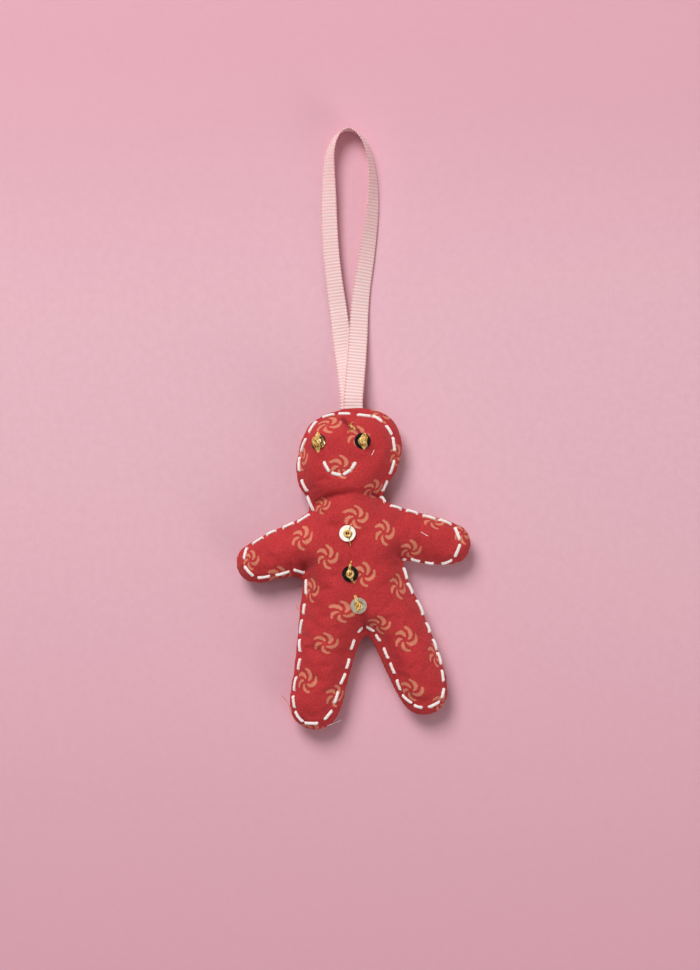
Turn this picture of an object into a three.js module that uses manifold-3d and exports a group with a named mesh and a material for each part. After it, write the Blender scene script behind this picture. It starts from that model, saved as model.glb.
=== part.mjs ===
import * as THREE from 'three';
import { mergeVertices } from 'three/addons/utils/BufferGeometryUtils.js';
import Module from 'manifold-3d';

// A stuffed cotton gingerbread man on a ribbon loop, lying on its back on a table at z = 0.
// Sizes are millimetres and degrees. Left and right are the viewer's, looking at the front.

// Head, measured from the middle of the neck
const neckX = -2.1;
const neckY = 20.6;
const neckWidth = 22.4;
const neckTilt = 8.5;
const headHeight = 29.3;
const crownOffset = 2.4;
const leftCheekReach = 15.9;
const leftCheekHeight = 10.6;
const rightCheekReach = 17;
const rightCheekHeight = 17.8;
const jawReach = 1.1;
const templeFullness = 0.745;

// Torso
const leftArmpitX = -15.9;
const leftArmpitY = -2.9;
const rightArmpitX = 15.1;
const rightArmpitY = 2;
const waistY = -10.5;
const leftWaistX = -16.6;
const rightWaistX = 19.8;
const crotchX = 3.6;
const crotchY = -20.3;

// Limbs, each from a root inside the torso to its round end
const leftArmRootX = -14.4;
const leftArmRootY = 8;
const leftArmAngle = 201;
const leftArmLength = 23.2;
const leftArmWidth = 14.3;
const leftHandWidth = 13;
const rightArmRootX = 13;
const rightArmRootY = 10.8;
const rightArmAngle = -10;
const rightArmLength = 23.4;
const rightArmWidth = 14.9;
const rightHandWidth = 13.4;
const leftLegRootX = -7;
const leftLegRootY = -17;
const leftLegAngle = -101.5;
const leftLegLength = 33.4;
const leftLegWidth = 16.9;
const leftFootWidth = 16;
const rightLegRootX = 12.8;
const rightLegRootY = -14.4;
const rightLegAngle = -69.3;
const rightLegLength = 32.5;
const rightLegWidth = 17.2;
const rightFootWidth = 15.4;

// Cotton panels: a flat hemmed rim sewn to its twin, and a swollen middle
const fabricThickness = 1;
const seamGap = 0.3;
const rimWidth = 2.8;
const shoulderWidth = 1.4;
const frontSwell = 8.8;
const frontReach = 4.2;
const backSwell = 5.2;
const backReach = 1.5;
const restDepth = 0.5;

// Fibre filling
const frontFillGap = 1;
const backFillGap = 0.6;
const fillEdgeGap = 0.6;
const fillPartGap = 0.3;

// White floss
const flossDiameter = 0.9;
const flossLegDiameter = 0.46;
const stitchInset = 1.6;
const stitchGap = 1.8;
const headStitches = 14;
const rightArmStitches = 10;
const rightLegStitches = 16;
const leftLegStitches = 15;
const leftArmStitches = 9;
const mouthX = -2.3;
const mouthY = 12.5;
const mouthWidth = 10;
const mouthDrop = 4.1;
const mouthStitches = 4;
const mouthStitchGap = 1.4;

// Foil sequins held by gold beads and gold thread. Eyes are measured from the middle of the neck,
// the tie-off knot down from the crown
const leftEyeX = -8.6;
const leftEyeY = 18.5;
const rightEyeX = 4.7;
const rightEyeY = 18.9;
const topButtonX = -2;
const topButtonY = 11.2;
const middleButtonX = -1.2;
const middleButtonY = -1.2;
const bottomButtonX = 1.4;
const bottomButtonY = -10.9;
const sequinDiameter = 5;
const sequinHole = 1.4;
const sequinThickness = 0.25;
const sequinCup = 0.35;
const beadDiameter = 2.5;
const beadHole = 1.2;
const beadHeight = 1.6;
const goldDiameter = 0.4;
const goldHoldPast = 0.6;
const knotX = 1.6;
const knotDrop = 5.7;
const knotLength = 1.8;
const knotAngle = -30;

// Ribbon
const ribbonX = -0.6;
const ribbonWidth = 6;
const ribbonThickness = 0.4;
const ribbonLayerGap = 0.3;
const hingeStandoff = 1.1;
const loopStart = 0.1;
const loopTension = 0.5;
const tailStop = 0.75;

// Clearances
const seatClearance = 0.3;
const threadClearance = 0.14;

// Facets
const edgeSpacing = 3;
const ringSpacing = 2.5;
const fieldSpacing = 4.6;
const fillSpacing = 5.5;
const fillEdgeSpacing = 3.4;
const gridStep = 0.4;
const stepsPerLandmark = 9;
const ringsPerStation = 2;
const relaxations = 400;
const overRelax = 1.9;
const flossSides = 4;
const goldSides = 5;
const sequinSides = 20;
const beadSides = 12;

const wasm = await Module();
wasm.setup();

const radians = THREE.MathUtils.degToRad;
const flat = (x, y) => new THREE.Vector2(x, y);
const towards = (angle) => flat(Math.cos(radians(angle)), Math.sin(radians(angle)));

// Outline of the figure, clockwise from the crown

function limbOutline(rootX, rootY, angle, length, width, endWidth) {
  const along = towards(angle);
  const across = flat(-along.y, along.x);
  const radius = endWidth / 2;
  const place = (reach, side) => flat(
    rootX + along.x * reach + across.x * side,
    rootY + along.y * reach + across.y * side,
  );
  const points = [place(length / 2, width / 2)];
  for (let eighth = 2; eighth >= -2; eighth -= 1) {
    const turn = eighth * Math.PI / 4;
    points.push(place(length - radius + radius * Math.cos(turn), radius * Math.sin(turn)));
  }
  points.push(place(length / 2, -width / 2));
  return points;
}

const neckHalf = towards(neckTilt).multiplyScalar(neckWidth / 2);
const leftNeck = flat(neckX, neckY).sub(neckHalf);
const rightNeck = flat(neckX, neckY).add(neckHalf);
const crown = flat(neckX + crownOffset, neckY + headHeight);
const leftCheek = flat(neckX - leftCheekReach, neckY + leftCheekHeight);
const rightCheek = flat(neckX + rightCheekReach, neckY + rightCheekHeight);
const leftArmpit = flat(leftArmpitX, leftArmpitY);
const rightArmpit = flat(rightArmpitX, rightArmpitY);
const crotch = flat(crotchX, crotchY);

function temple(cheek) {
  return flat(
    crown.x + (cheek.x - crown.x) * templeFullness,
    cheek.y + (crown.y - cheek.y) * templeFullness,
  );
}

function jaw(cheek, neck) {
  const middle = cheek.clone().lerp(neck, 0.5);
  return flat(middle.x + Math.sign(cheek.x - neckX) * jawReach, middle.y);
}

const landmarks = [
  crown,
  temple(rightCheek),
  rightCheek,
  jaw(rightCheek, rightNeck),
  rightNeck,
  ...limbOutline(rightArmRootX, rightArmRootY, rightArmAngle, rightArmLength, rightArmWidth, rightHandWidth),
  rightArmpit,
  flat(rightWaistX, waistY),
  ...limbOutline(rightLegRootX, rightLegRootY, rightLegAngle, rightLegLength, rightLegWidth, rightFootWidth),
  crotch,
  ...limbOutline(leftLegRootX, leftLegRootY, leftLegAngle, leftLegLength, leftLegWidth, leftFootWidth),
  flat(leftWaistX, waistY),
  leftArmpit,
  ...limbOutline(leftArmRootX, leftArmRootY, leftArmAngle, leftArmLength, leftArmWidth, leftHandWidth),
  leftNeck,
  jaw(leftCheek, leftNeck),
  leftCheek,
  temple(leftCheek),
];

const outlineCurve = new THREE.CatmullRomCurve3(
  landmarks.map((point) => new THREE.Vector3(point.x, point.y, 0)),
  true,
  'centripetal',
);
const outlineSteps = landmarks.length * stepsPerLandmark;

// The outline, or a line inside it at an even distance
function insetLine(inset) {
  const line = [];
  for (let step = 0; step < outlineSteps; step += 1) {
    const point = outlineCurve.getPoint(step / outlineSteps);
    const heading = outlineCurve.getTangent(step / outlineSteps);
    line.push(flat(point.x + heading.y * inset, point.y - heading.x * inset));
  }
  return line;
}

// Distance walked along a closed line up to each of its points, and back to the first
function walkedLengths(line) {
  const lengths = [0];
  line.forEach((point, index) => {
    lengths.push(lengths[index] + point.distanceTo(line[(index + 1) % line.length]));
  });
  return lengths;
}

function pointAlong(line, lengths, distance) {
  const total = lengths[line.length];
  const wanted = ((distance % total) + total) % total;
  let index = 0;
  while (lengths[index + 1] < wanted) {
    index += 1;
  }
  const share = (wanted - lengths[index]) / (lengths[index + 1] - lengths[index]);
  return line[index].clone().lerp(line[(index + 1) % line.length], share);
}

function evenPoints(line, spacing) {
  const lengths = walkedLengths(line);
  const total = lengths[line.length];
  const count = Math.round(total / spacing);
  return Array.from({ length: count }, (_, index) => pointAlong(line, lengths, total * index / count));
}

const outline = insetLine(0);

function distanceToSegment(point, start, end) {
  const run = end.clone().sub(start);
  const share = THREE.MathUtils.clamp(point.clone().sub(start).dot(run) / run.lengthSq(), 0, 1);
  return start.clone().addScaledVector(run, share).distanceTo(point);
}

function isInside(point, loop) {
  let inside = false;
  loop.forEach((start, index) => {
    const end = loop[(index + 1) % loop.length];
    const crosses = (start.y > point.y) !== (end.y > point.y);
    if (crosses && point.x < start.x + (end.x - start.x) * (point.y - start.y) / (end.y - start.y)) {
      inside = !inside;
    }
  });
  return inside;
}

// How far a point lies inside the outline, zero or less outside it
function depthInside(point) {
  if (!isInside(point, outline)) {
    return 0;
  }
  let least = Infinity;
  outline.forEach((start, index) => {
    least = Math.min(least, distanceToSegment(point, start, outline[(index + 1) % outline.length]));
  });
  return least;
}

// Swell of the panels: a membrane held at the rim and pushed out evenly, on a square grid

const outlineBox = new THREE.Box2().setFromPoints(outline);
const gridColumns = Math.ceil((outlineBox.max.x - outlineBox.min.x) / gridStep) + 2;
const gridRows = Math.ceil((outlineBox.max.y - outlineBox.min.y) / gridStep) + 2;
const membrane = new Float64Array(gridColumns * gridRows);
const freeNodes = [];
for (let row = 1; row < gridRows - 1; row += 1) {
  for (let column = 1; column < gridColumns - 1; column += 1) {
    const spot = flat(outlineBox.min.x + column * gridStep, outlineBox.min.y + row * gridStep);
    if (depthInside(spot) > rimWidth + gridStep * Math.SQRT2) {
      freeNodes.push(row * gridColumns + column);
    }
  }
}
for (let pass = 0; pass < relaxations; pass += 1) {
  for (const node of freeNodes) {
    const around = membrane[node - 1] + membrane[node + 1]
      + membrane[node - gridColumns] + membrane[node + gridColumns];
    membrane[node] += overRelax * ((around + gridStep * gridStep) / 4 - membrane[node]);
  }
}

function membraneAt(x, y) {
  const column = THREE.MathUtils.clamp((x - outlineBox.min.x) / gridStep, 0, gridColumns - 2);
  const row = THREE.MathUtils.clamp((y - outlineBox.min.y) / gridStep, 0, gridRows - 2);
  const left = Math.floor(column);
  const low = Math.floor(row);
  const node = low * gridColumns + left;
  const below = THREE.MathUtils.lerp(membrane[node], membrane[node + 1], column - left);
  const above = THREE.MathUtils.lerp(
    membrane[node + gridColumns],
    membrane[node + gridColumns + 1],
    column - left,
  );
  return THREE.MathUtils.lerp(below, above, row - low);
}

const swellAt = (x, y, tallest, reach) => tallest * (1 - Math.exp(-Math.sqrt(membraneAt(x, y)) / reach));

const seamZ = seamGap / 2 + fabricThickness + backSwell - restDepth;
const rimTop = seamZ + seamGap / 2 + fabricThickness;
const rimBottom = seamZ - seamGap / 2 - fabricThickness;
const frontOuter = (x, y) => rimTop + swellAt(x, y, frontSwell, frontReach);
const frontInner = (x, y) => frontOuter(x, y) - fabricThickness;
const backOuter = (x, y) => Math.max(0, rimBottom - swellAt(x, y, backSwell, backReach));
const backInner = (x, y) => backOuter(x, y) + fabricThickness;

// Delaunay triangles of flat points: each new point opens the circles that hold it

function triangleOf(points, a, b, c) {
  const abx = points[b].x - points[a].x;
  const aby = points[b].y - points[a].y;
  const acx = points[c].x - points[a].x;
  const acy = points[c].y - points[a].y;
  const twice = 2 * (abx * acy - aby * acx);
  const abSquare = abx * abx + aby * aby;
  const acSquare = acx * acx + acy * acy;
  const dx = (acy * abSquare - aby * acSquare) / twice;
  const dy = (abx * acSquare - acx * abSquare) / twice;
  const corners = twice > 0 ? [a, b, c] : [a, c, b];
  return { corners, x: points[a].x + dx, y: points[a].y + dy, square: dx * dx + dy * dy };
}

function delaunay(given) {
  const far = 1e4;
  const points = [...given, flat(-far, -far), flat(far, -far), flat(0, far)];
  const count = given.length;
  let triangles = [triangleOf(points, count, count + 1, count + 2)];
  for (let added = 0; added < count; added += 1) {
    const rim = new Map();
    const kept = [];
    for (const triangle of triangles) {
      const dx = points[added].x - triangle.x;
      const dy = points[added].y - triangle.y;
      if (dx * dx + dy * dy >= triangle.square) {
        kept.push(triangle);
        continue;
      }
      triangle.corners.forEach((from, index) => {
        const to = triangle.corners[(index + 1) % 3];
        if (!rim.delete(`${to},${from}`)) {
          rim.set(`${from},${to}`, [from, to]);
        }
      });
    }
    for (const [from, to] of rim.values()) {
      kept.push(triangleOf(points, from, to, added));
    }
    triangles = kept;
  }
  return triangles.map((triangle) => triangle.corners).filter((corners) => Math.max(...corners) < count);
}

function fieldPoints(spacing, leastDepth, holes) {
  const points = [];
  const rowStep = spacing * Math.sqrt(3) / 2;
  const rows = Math.ceil((outlineBox.max.y - outlineBox.min.y) / rowStep);
  const columns = Math.ceil((outlineBox.max.x - outlineBox.min.x) / spacing);
  for (let row = 0; row < rows; row += 1) {
    for (let column = 0; column <= columns; column += 1) {
      const spot = flat(
        outlineBox.min.x + (column + (row % 2) / 2) * spacing,
        outlineBox.min.y + row * rowStep,
      );
      const clear = holes.every((hole) => hole.centre.distanceTo(spot) > hole.size + spacing / 3);
      if (clear && depthInside(spot) > leastDepth) {
        points.push(spot);
      }
    }
  }
  return points;
}

// A closed solid between two height fields, over an edge loop with small holes in it
function layerSolid(edge, inner, holes, top, bottom) {
  const points = [...edge, ...inner];
  const holeOf = new Array(points.length).fill(-1);
  holes.forEach((hole, index) => {
    points.push(...hole.corners);
    holeOf.push(...hole.corners.map(() => index));
  });
  const triangles = delaunay(points).filter(([a, b, c]) => {
    const inHole = holeOf[a] >= 0 && holeOf[a] === holeOf[b] && holeOf[b] === holeOf[c];
    const middle = points[a].clone().add(points[b]).add(points[c]).divideScalar(3);
    return !inHole && isInside(middle, edge);
  });
  const count = points.length;
  const vertices = [
    ...points.flatMap(({ x, y }) => [x, y, top(x, y)]),
    ...points.flatMap(({ x, y }) => [x, y, bottom(x, y)]),
  ];
  const open = new Map();
  const faces = [];
  for (const corners of triangles) {
    const [a, b, c] = corners;
    faces.push(a, b, c, count + a, count + c, count + b);
    corners.forEach((from, index) => {
      const to = corners[(index + 1) % 3];
      if (!open.delete(`${to},${from}`)) {
        open.set(`${from},${to}`, [from, to]);
      }
    });
  }
  for (const [from, to] of open.values()) {
    faces.push(from, count + from, count + to, from, count + to, to);
  }
  return geometryOf(vertices, faces);
}

function geometryOf(vertices, faces) {
  const geometry = new THREE.BufferGeometry();
  geometry.setAttribute('position', new THREE.Float32BufferAttribute(vertices, 3));
  geometry.setIndex(faces);
  return geometry;
}

// Joining and cutting of closed solids

function solidOf(geometry) {
  const bare = geometry.clone();
  bare.deleteAttribute('normal');
  bare.deleteAttribute('uv');
  const merged = mergeVertices(bare);
  return new wasm.Manifold(new wasm.Mesh({
    numProp: 3,
    vertProperties: new Float32Array(merged.attributes.position.array),
    triVerts: new Uint32Array(merged.index.array),
  }));
}

function geometryOfSolid(solid) {
  const mesh = solid.getMesh();
  return geometryOf(Array.from(mesh.vertProperties), Array.from(mesh.triVerts));
}

function boxBetween(low, high) {
  const size = new THREE.Vector3().subVectors(high, low);
  const middle = new THREE.Vector3().addVectors(low, high).multiplyScalar(0.5);
  return new THREE.BoxGeometry(size.x, size.y, size.z).translate(middle.x, middle.y, middle.z);
}

// A thread: a tube through points, with a radius at each, closed at both ends
function threadAlong(points, radii, sides) {
  const vertices = [];
  const faces = [];
  const heading = (index) => {
    const before = points[Math.max(index - 1, 0)];
    const after = points[Math.min(index + 1, points.length - 1)];
    return after.clone().sub(before).normalize();
  };
  const side = new THREE.Vector3(heading(0).y, heading(0).z, heading(0).x).cross(heading(0)).normalize();
  points.forEach((point, index) => {
    const forward = heading(index);
    side.addScaledVector(forward, -side.dot(forward)).normalize();
    const other = forward.clone().cross(side);
    for (let corner = 0; corner < sides; corner += 1) {
      const turn = 2 * Math.PI * corner / sides;
      const spot = point.clone()
        .addScaledVector(side, radii[index] * Math.cos(turn))
        .addScaledVector(other, radii[index] * Math.sin(turn));
      vertices.push(spot.x, spot.y, spot.z);
    }
  });
  for (let ring = 0; ring < points.length - 1; ring += 1) {
    for (let corner = 0; corner < sides; corner += 1) {
      const here = ring * sides + corner;
      const next = ring * sides + (corner + 1) % sides;
      faces.push(here, next, here + sides, next, next + sides, here + sides);
    }
  }
  const last = (points.length - 1) * sides;
  for (let corner = 1; corner < sides - 1; corner += 1) {
    faces.push(0, corner + 1, corner, last, last + corner, last + corner + 1);
  }
  return geometryOf(vertices, faces);
}

// Running stitches: each rises at its first end, lies on the front and dives at its second end

function needleHole(centre, heading) {
  const size = flossLegDiameter / 2 + threadClearance;
  const across = flat(-heading.y, heading.x).multiplyScalar(size * Math.sqrt(3));
  const base = centre.clone().addScaledVector(heading, size);
  const tip = centre.clone().addScaledVector(heading, -2 * size);
  return { centre, corners: [base.clone().add(across), base.sub(across), tip], size: 2 * size };
}

function squareHole(centre, size) {
  const corners = [[-1, -1], [1, -1], [1, 1], [-1, 1]].map(([right, up]) => (
    flat(centre.x + right * size, centre.y + up * size)
  ));
  return { centre, corners, size: size * Math.SQRT2 };
}

function stitchesBetween(line, lengths, start, end, count, gap) {
  const pitch = (end - start) / count;
  return Array.from({ length: count }, (_, index) => ({
    rise: pointAlong(line, lengths, start + pitch * index + gap / 2),
    dive: pointAlong(line, lengths, start + pitch * (index + 1) - gap / 2),
  }));
}

function stitchHoles(stitches) {
  return stitches.flatMap(({ rise, dive }) => {
    const heading = dive.clone().sub(rise).normalize();
    return [needleHole(rise, heading.clone().negate()), needleHole(dive, heading)];
  });
}

// surface gives the height that a stitch lies on, and under the height that the thread crosses below
function flossThrough(stitches, surface, under) {
  const points = [];
  const radii = [];
  const thick = flossDiameter / 2;
  const thin = flossLegDiameter / 2;
  const add = (spot, z, radius) => {
    points.push(new THREE.Vector3(spot.x, spot.y, z));
    radii.push(radius);
  };
  stitches.forEach(({ rise, dive }) => {
    const bend = thick / rise.distanceTo(dive);
    const first = rise.clone().lerp(dive, bend);
    const middle = rise.clone().lerp(dive, 0.5);
    const second = dive.clone().lerp(rise, bend);
    const lift = threadClearance + thick;
    add(rise, under(rise.x, rise.y) - threadClearance - thin, thin);
    add(rise, surface(rise.x, rise.y) + threadClearance, thin);
    add(first, surface(first.x, first.y) + lift, thick);
    add(middle, surface(middle.x, middle.y) + lift, thick);
    add(second, surface(second.x, second.y) + lift, thick);
    add(dive, surface(dive.x, dive.y) + threadClearance, thin);
    add(dive, under(dive.x, dive.y) - threadClearance - thin, thin);
  });
  return threadAlong(points, radii, flossSides);
}

const stitchLine = insetLine(stitchInset);
const stitchLengths = walkedLengths(stitchLine);
const walkedTo = (landmark) => stitchLengths[landmarks.indexOf(landmark) * stepsPerLandmark];
const stitchesFrom = (start, end, count) => (
  stitchesBetween(stitchLine, stitchLengths, walkedTo(start), walkedTo(end), count, stitchGap)
);
const headEnd = walkedTo(rightNeck) + stitchLengths[outlineSteps];
const edgeStitches = [
  ...stitchesBetween(stitchLine, stitchLengths, walkedTo(leftNeck), headEnd, headStitches, stitchGap),
  ...stitchesFrom(rightNeck, rightArmpit, rightArmStitches),
  ...stitchesFrom(rightArmpit, crotch, rightLegStitches),
  ...stitchesFrom(crotch, leftArmpit, leftLegStitches),
  ...stitchesFrom(leftArmpit, leftNeck, leftArmStitches),
];

// The smile is an arc whose ends lie level
const mouthRadius = (mouthWidth * mouthWidth / 4 + mouthDrop * mouthDrop) / (2 * mouthDrop);
const mouthHalfTurn = Math.asin(mouthWidth / 2 / mouthRadius);
const mouthSteps = 24;
const mouthLine = Array.from({ length: mouthSteps + 1 }, (_, step) => {
  const turn = mouthHalfTurn * (2 * step / mouthSteps - 1);
  return flat(
    neckX + mouthX + mouthRadius * Math.sin(turn),
    neckY + mouthY + mouthRadius * (Math.cos(mouthHalfTurn) - Math.cos(turn)),
  );
});
const mouthLengths = walkedLengths(mouthLine);
const mouthRun = stitchesBetween(
  mouthLine,
  mouthLengths,
  -mouthStitchGap / 2,
  mouthLengths[mouthSteps] + mouthStitchGap / 2,
  mouthStitches,
  mouthStitchGap,
);

// Sequins: where each sits, and the frame of the cloth under it

const sequinSeats = [
  { name: 'left_eye', x: neckX + leftEyeX, y: neckY + leftEyeY },
  { name: 'right_eye', x: neckX + rightEyeX, y: neckY + rightEyeY },
  { name: 'top_button', x: topButtonX, y: topButtonY },
  { name: 'middle_button', x: middleButtonX, y: middleButtonY },
  { name: 'bottom_button', x: bottomButtonX, y: bottomButtonY },
];

const holdReach = sequinDiameter / 2 + goldHoldPast;
const goldLegApart = goldDiameter / 2 + threadClearance / 2;
const holdHoleSize = goldDiameter / 2 + threadClearance;
for (const seat of sequinSeats) {
  const span = 2 * gridStep;
  const slopeX = (frontOuter(seat.x + gridStep, seat.y) - frontOuter(seat.x - gridStep, seat.y)) / span;
  const slopeY = (frontOuter(seat.x, seat.y + gridStep) - frontOuter(seat.x, seat.y - gridStep)) / span;
  const normal = new THREE.Vector3(-slopeX, -slopeY, 1).normalize();
  const right = new THREE.Vector3(0, 1, 0).cross(normal).normalize();
  const up = normal.clone().cross(right);
  const origin = new THREE.Vector3(seat.x, seat.y, frontOuter(seat.x, seat.y));
  seat.frame = new THREE.Matrix4().makeBasis(right, up, normal).setPosition(origin);
  seat.holds = [1, -1].map((way) => flat(seat.x + up.x * way * holdReach, seat.y + up.y * way * holdReach));
  const legDrift = fabricThickness * Math.hypot(slopeX, slopeY) * normal.z;
  seat.holes = [
    squareHole(flat(seat.x, seat.y), goldLegApart + goldDiameter / 2 + threadClearance + legDrift),
    ...seat.holds.map((hold) => squareHole(hold, holdHoleSize)),
  ];
}

const knotRun = towards(knotAngle).multiplyScalar(knotLength / 2);
const knotEnds = [-1, 1].map((way) => (
  flat(neckX + knotX, neckY + headHeight - knotDrop).addScaledVector(knotRun, way)
));
const knotHoles = knotEnds.map((end) => squareHole(end, holdHoleSize));

// Ribbon: two ends sewn between the panels, and the loop that hinges on the head's top edge

const ribbonTop = outline.reduce((best, point) => (
  Math.abs(point.x - ribbonX) < Math.abs(best.x - ribbonX) && point.y > neckY ? point : best
), crown).y;
const hingeY = ribbonTop + hingeStandoff;
const layerRise = (ribbonThickness + ribbonLayerGap) / 2;
const tuckDepth = rimWidth + shoulderWidth - seatClearance;

// Stations of the loop: right of and beyond the hinge, height of the middle, and lean of the width
const loopStations = [
  [-0.8, 0, seamZ - layerRise, 0],
  [-0.9, 3, seamZ - layerRise, 0],
  [-1.8, 11, 3.6, 3],
  [-2.9, 18.5, 1.6, 8],
  [-4.2, 28.5, 1.3, 16],
  [-5.5, 38, 1.9, 28],
  [-6.6, 48, 2, 31],
  [-7.3, 58, 2.1, 34],
  [-7.5, 66, 2.4, 42],
  [-7.5, 73.5, 2.8, 54],
  [-7, 79, 3, 64],
  [-5.7, 83, 3.1, 73],
  [-3.5, 85.7, 3.1, 83],
  [-1.2, 86.4, 3.1, 90],
  [1.2, 85.4, 3.1, 96],
  [3.4, 82.9, 3.1, 102],
  [5, 79.4, 3.1, 106],
  [6.1, 74, 3, 112],
  [6.6, 67, 2.8, 121],
  [6.3, 60, 2.6, 130],
  [5.4, 52, 2.4, 138],
  [4.2, 44, 2.1, 148],
  [3, 36, 1.8, 155],
  [2.3, 28.5, 1.9, 162],
  [1.8, 19.5, 2.6, 172],
  [1.2, 11, 4.4, 177],
  [0.5, 3, seamZ + layerRise, 180],
  [0.4, 0, seamZ + layerRise, 180],
];

function ribbonLoopGeometry() {
  const along = (values) => new THREE.CatmullRomCurve3(values, false, 'catmullrom', loopTension);
  const middle = along(loopStations.map(([x, y, z]) => (
    new THREE.Vector3(ribbonX + x, hingeY + loopStart + y, z)
  )));
  const lean = along(loopStations.map((station, index) => new THREE.Vector3(index, station[3], 0)));
  const rings = (loopStations.length - 1) * ringsPerStation;
  const vertices = [];
  const faces = [];
  const upright = new THREE.Vector3(0, 0, 1);
  for (let ring = 0; ring <= rings; ring += 1) {
    const centre = middle.getPoint(ring / rings);
    const forward = middle.getTangent(ring / rings);
    const level = forward.clone().cross(upright).normalize();
    const rise = level.clone().cross(forward);
    const turn = radians(lean.getPoint(ring / rings).y);
    const width = level.clone().multiplyScalar(Math.cos(turn)).addScaledVector(rise, -Math.sin(turn));
    const normal = width.clone().cross(forward);
    for (const [across, out] of [[-1, -1], [1, -1], [1, 1], [-1, 1]]) {
      const corner = centre.clone()
        .addScaledVector(width, across * ribbonWidth / 2)
        .addScaledVector(normal, out * ribbonThickness / 2);
      vertices.push(corner.x, corner.y, corner.z);
    }
  }
  for (let ring = 0; ring < rings; ring += 1) {
    for (let corner = 0; corner < 4; corner += 1) {
      const here = ring * 4 + corner;
      const next = ring * 4 + (corner + 1) % 4;
      faces.push(here, here + 4, next, next, here + 4, next + 4);
    }
  }
  const last = rings * 4;
  faces.push(0, 1, 2, 0, 2, 3, last, last + 2, last + 1, last, last + 3, last + 2);
  return geometryOf(vertices, faces);
}

function ribbonTailGeometry(offsetX, z) {
  const tail = boxBetween(
    new THREE.Vector3(ribbonX + offsetX - ribbonWidth / 2, ribbonTop - tuckDepth, z - ribbonThickness / 2),
    new THREE.Vector3(ribbonX + offsetX + ribbonWidth / 2, hingeY - tailStop, z + ribbonThickness / 2),
  );
  const legSize = flossLegDiameter / 2 + threadClearance;
  return geometryOfSolid(edgeStitches.flatMap(({ rise, dive }) => [rise, dive]).reduce((solid, leg) => (
    solid.subtract(solidOf(boxBetween(
      new THREE.Vector3(leg.x - legSize, leg.y - legSize, 0),
      new THREE.Vector3(leg.x + legSize, leg.y + legSize, rimTop),
    )))
  ), solidOf(tail)));
}

// Panels with the ribbon's pocket between their rims

const panelEdge = evenPoints(outline, edgeSpacing);
const panelRings = [rimWidth, rimWidth + shoulderWidth].flatMap((inset) => (
  evenPoints(insetLine(inset), ringSpacing)
));

function panelGeometry(holes, top, bottom) {
  const clear = (point) => holes.every((hole) => (
    hole.centre.distanceTo(point) > hole.size + threadClearance
  ));
  const field = fieldPoints(fieldSpacing, rimWidth + shoulderWidth + ringSpacing / 2, holes);
  const panel = layerSolid(panelEdge, [...panelRings.filter(clear), ...field], holes, top, bottom);
  const pocketHalf = layerRise + ribbonThickness / 2 + seatClearance;
  const pocketSide = ribbonWidth / 2 + Math.abs(loopStations[0][0]) + seatClearance;
  const pocket = boxBetween(
    new THREE.Vector3(ribbonX - pocketSide, ribbonTop - tuckDepth - seatClearance, seamZ - pocketHalf),
    new THREE.Vector3(ribbonX + pocketSide, hingeY, seamZ + pocketHalf),
  );
  return geometryOfSolid(solidOf(panel).subtract(solidOf(pocket)));
}

const edgeHoles = stitchHoles(edgeStitches);
const trimHoles = [...stitchHoles(mouthRun), ...sequinSeats.flatMap((seat) => seat.holes), ...knotHoles];

// Filling: one wad cut into head, limbs and torso along the body's joints

function fillGeometry() {
  const inset = rimWidth + shoulderWidth + fillEdgeGap;
  const edge = evenPoints(insetLine(inset), fillEdgeSpacing);
  const field = fieldPoints(fillSpacing, inset + fillSpacing / 3, []);
  return layerSolid(
    edge,
    field,
    [],
    (x, y) => frontInner(x, y) - frontFillGap,
    (x, y) => backInner(x, y) + backFillGap,
  );
}

// A block on the left of the line between two points, running past its ends
function limbBlock(from, to, past, back) {
  const run = to.clone().sub(from);
  const reach = headHeight + leftLegLength;
  const height = 2 * (fabricThickness + frontSwell);
  return new THREE.BoxGeometry(run.length() + 2 * past, reach, height)
    .translate(0, reach / 2 - back, seamZ)
    .rotateZ(run.angle())
    .translate((from.x + to.x) / 2, (from.y + to.y) / 2, 0);
}

// A point far out on the hip line, square to the leg through the crotch
function hipAcross(legAngle, way) {
  return crotch.clone().addScaledVector(towards(legAngle + 90 * way), leftLegWidth + rightLegWidth);
}

const limbCuts = [
  { name: 'head_stuffing', from: leftNeck, to: rightNeck, past: neckWidth / 2 },
  { name: 'left_arm_stuffing', from: leftArmpit, to: leftNeck, past: rimWidth },
  { name: 'right_arm_stuffing', from: rightNeck, to: rightArmpit, past: rimWidth },
  { name: 'left_leg_stuffing', from: crotch, to: hipAcross(leftLegAngle, -1), past: rimWidth },
  { name: 'right_leg_stuffing', from: hipAcross(rightLegAngle, 1), to: crotch, past: rimWidth },
];

// Finishes

const finish = (color, roughness, metalness) => () => (
  new THREE.MeshStandardMaterial({ color, roughness, metalness })
);
const redCotton = finish(0xb8403a, 0.9, 0);
const fibre = finish(0xf2efe8, 1, 0);
const whiteFloss = finish(0xf1e9e4, 0.7, 0);
const mirrorFoil = finish(0xc9c9ce, 0.12, 1);
const goldMetal = finish(0xc08f3a, 0.25, 1);
const pinkRibbon = finish(0xe6c8cb, 0.75, 0);

const ornament = new THREE.Group();

function addPiece(name, geometry, material, parent = ornament) {
  const mesh = new THREE.Mesh(geometry, material());
  mesh.name = name;
  parent.add(mesh);
  return mesh;
}

addPiece('front_panel', panelGeometry([...edgeHoles, ...trimHoles], frontOuter, frontInner), redCotton);
addPiece('back_panel', panelGeometry(edgeHoles, backInner, backOuter), redCotton);

const wholeFill = solidOf(fillGeometry());
let torsoFill = wholeFill;
for (const { name, from, to, past } of limbCuts) {
  addPiece(name, geometryOfSolid(wholeFill.intersect(solidOf(limbBlock(from, to, past, 0)))), fibre);
  torsoFill = torsoFill.subtract(solidOf(limbBlock(from, to, past, fillPartGap)));
}
addPiece('torso_stuffing', geometryOfSolid(torsoFill), fibre);

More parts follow.
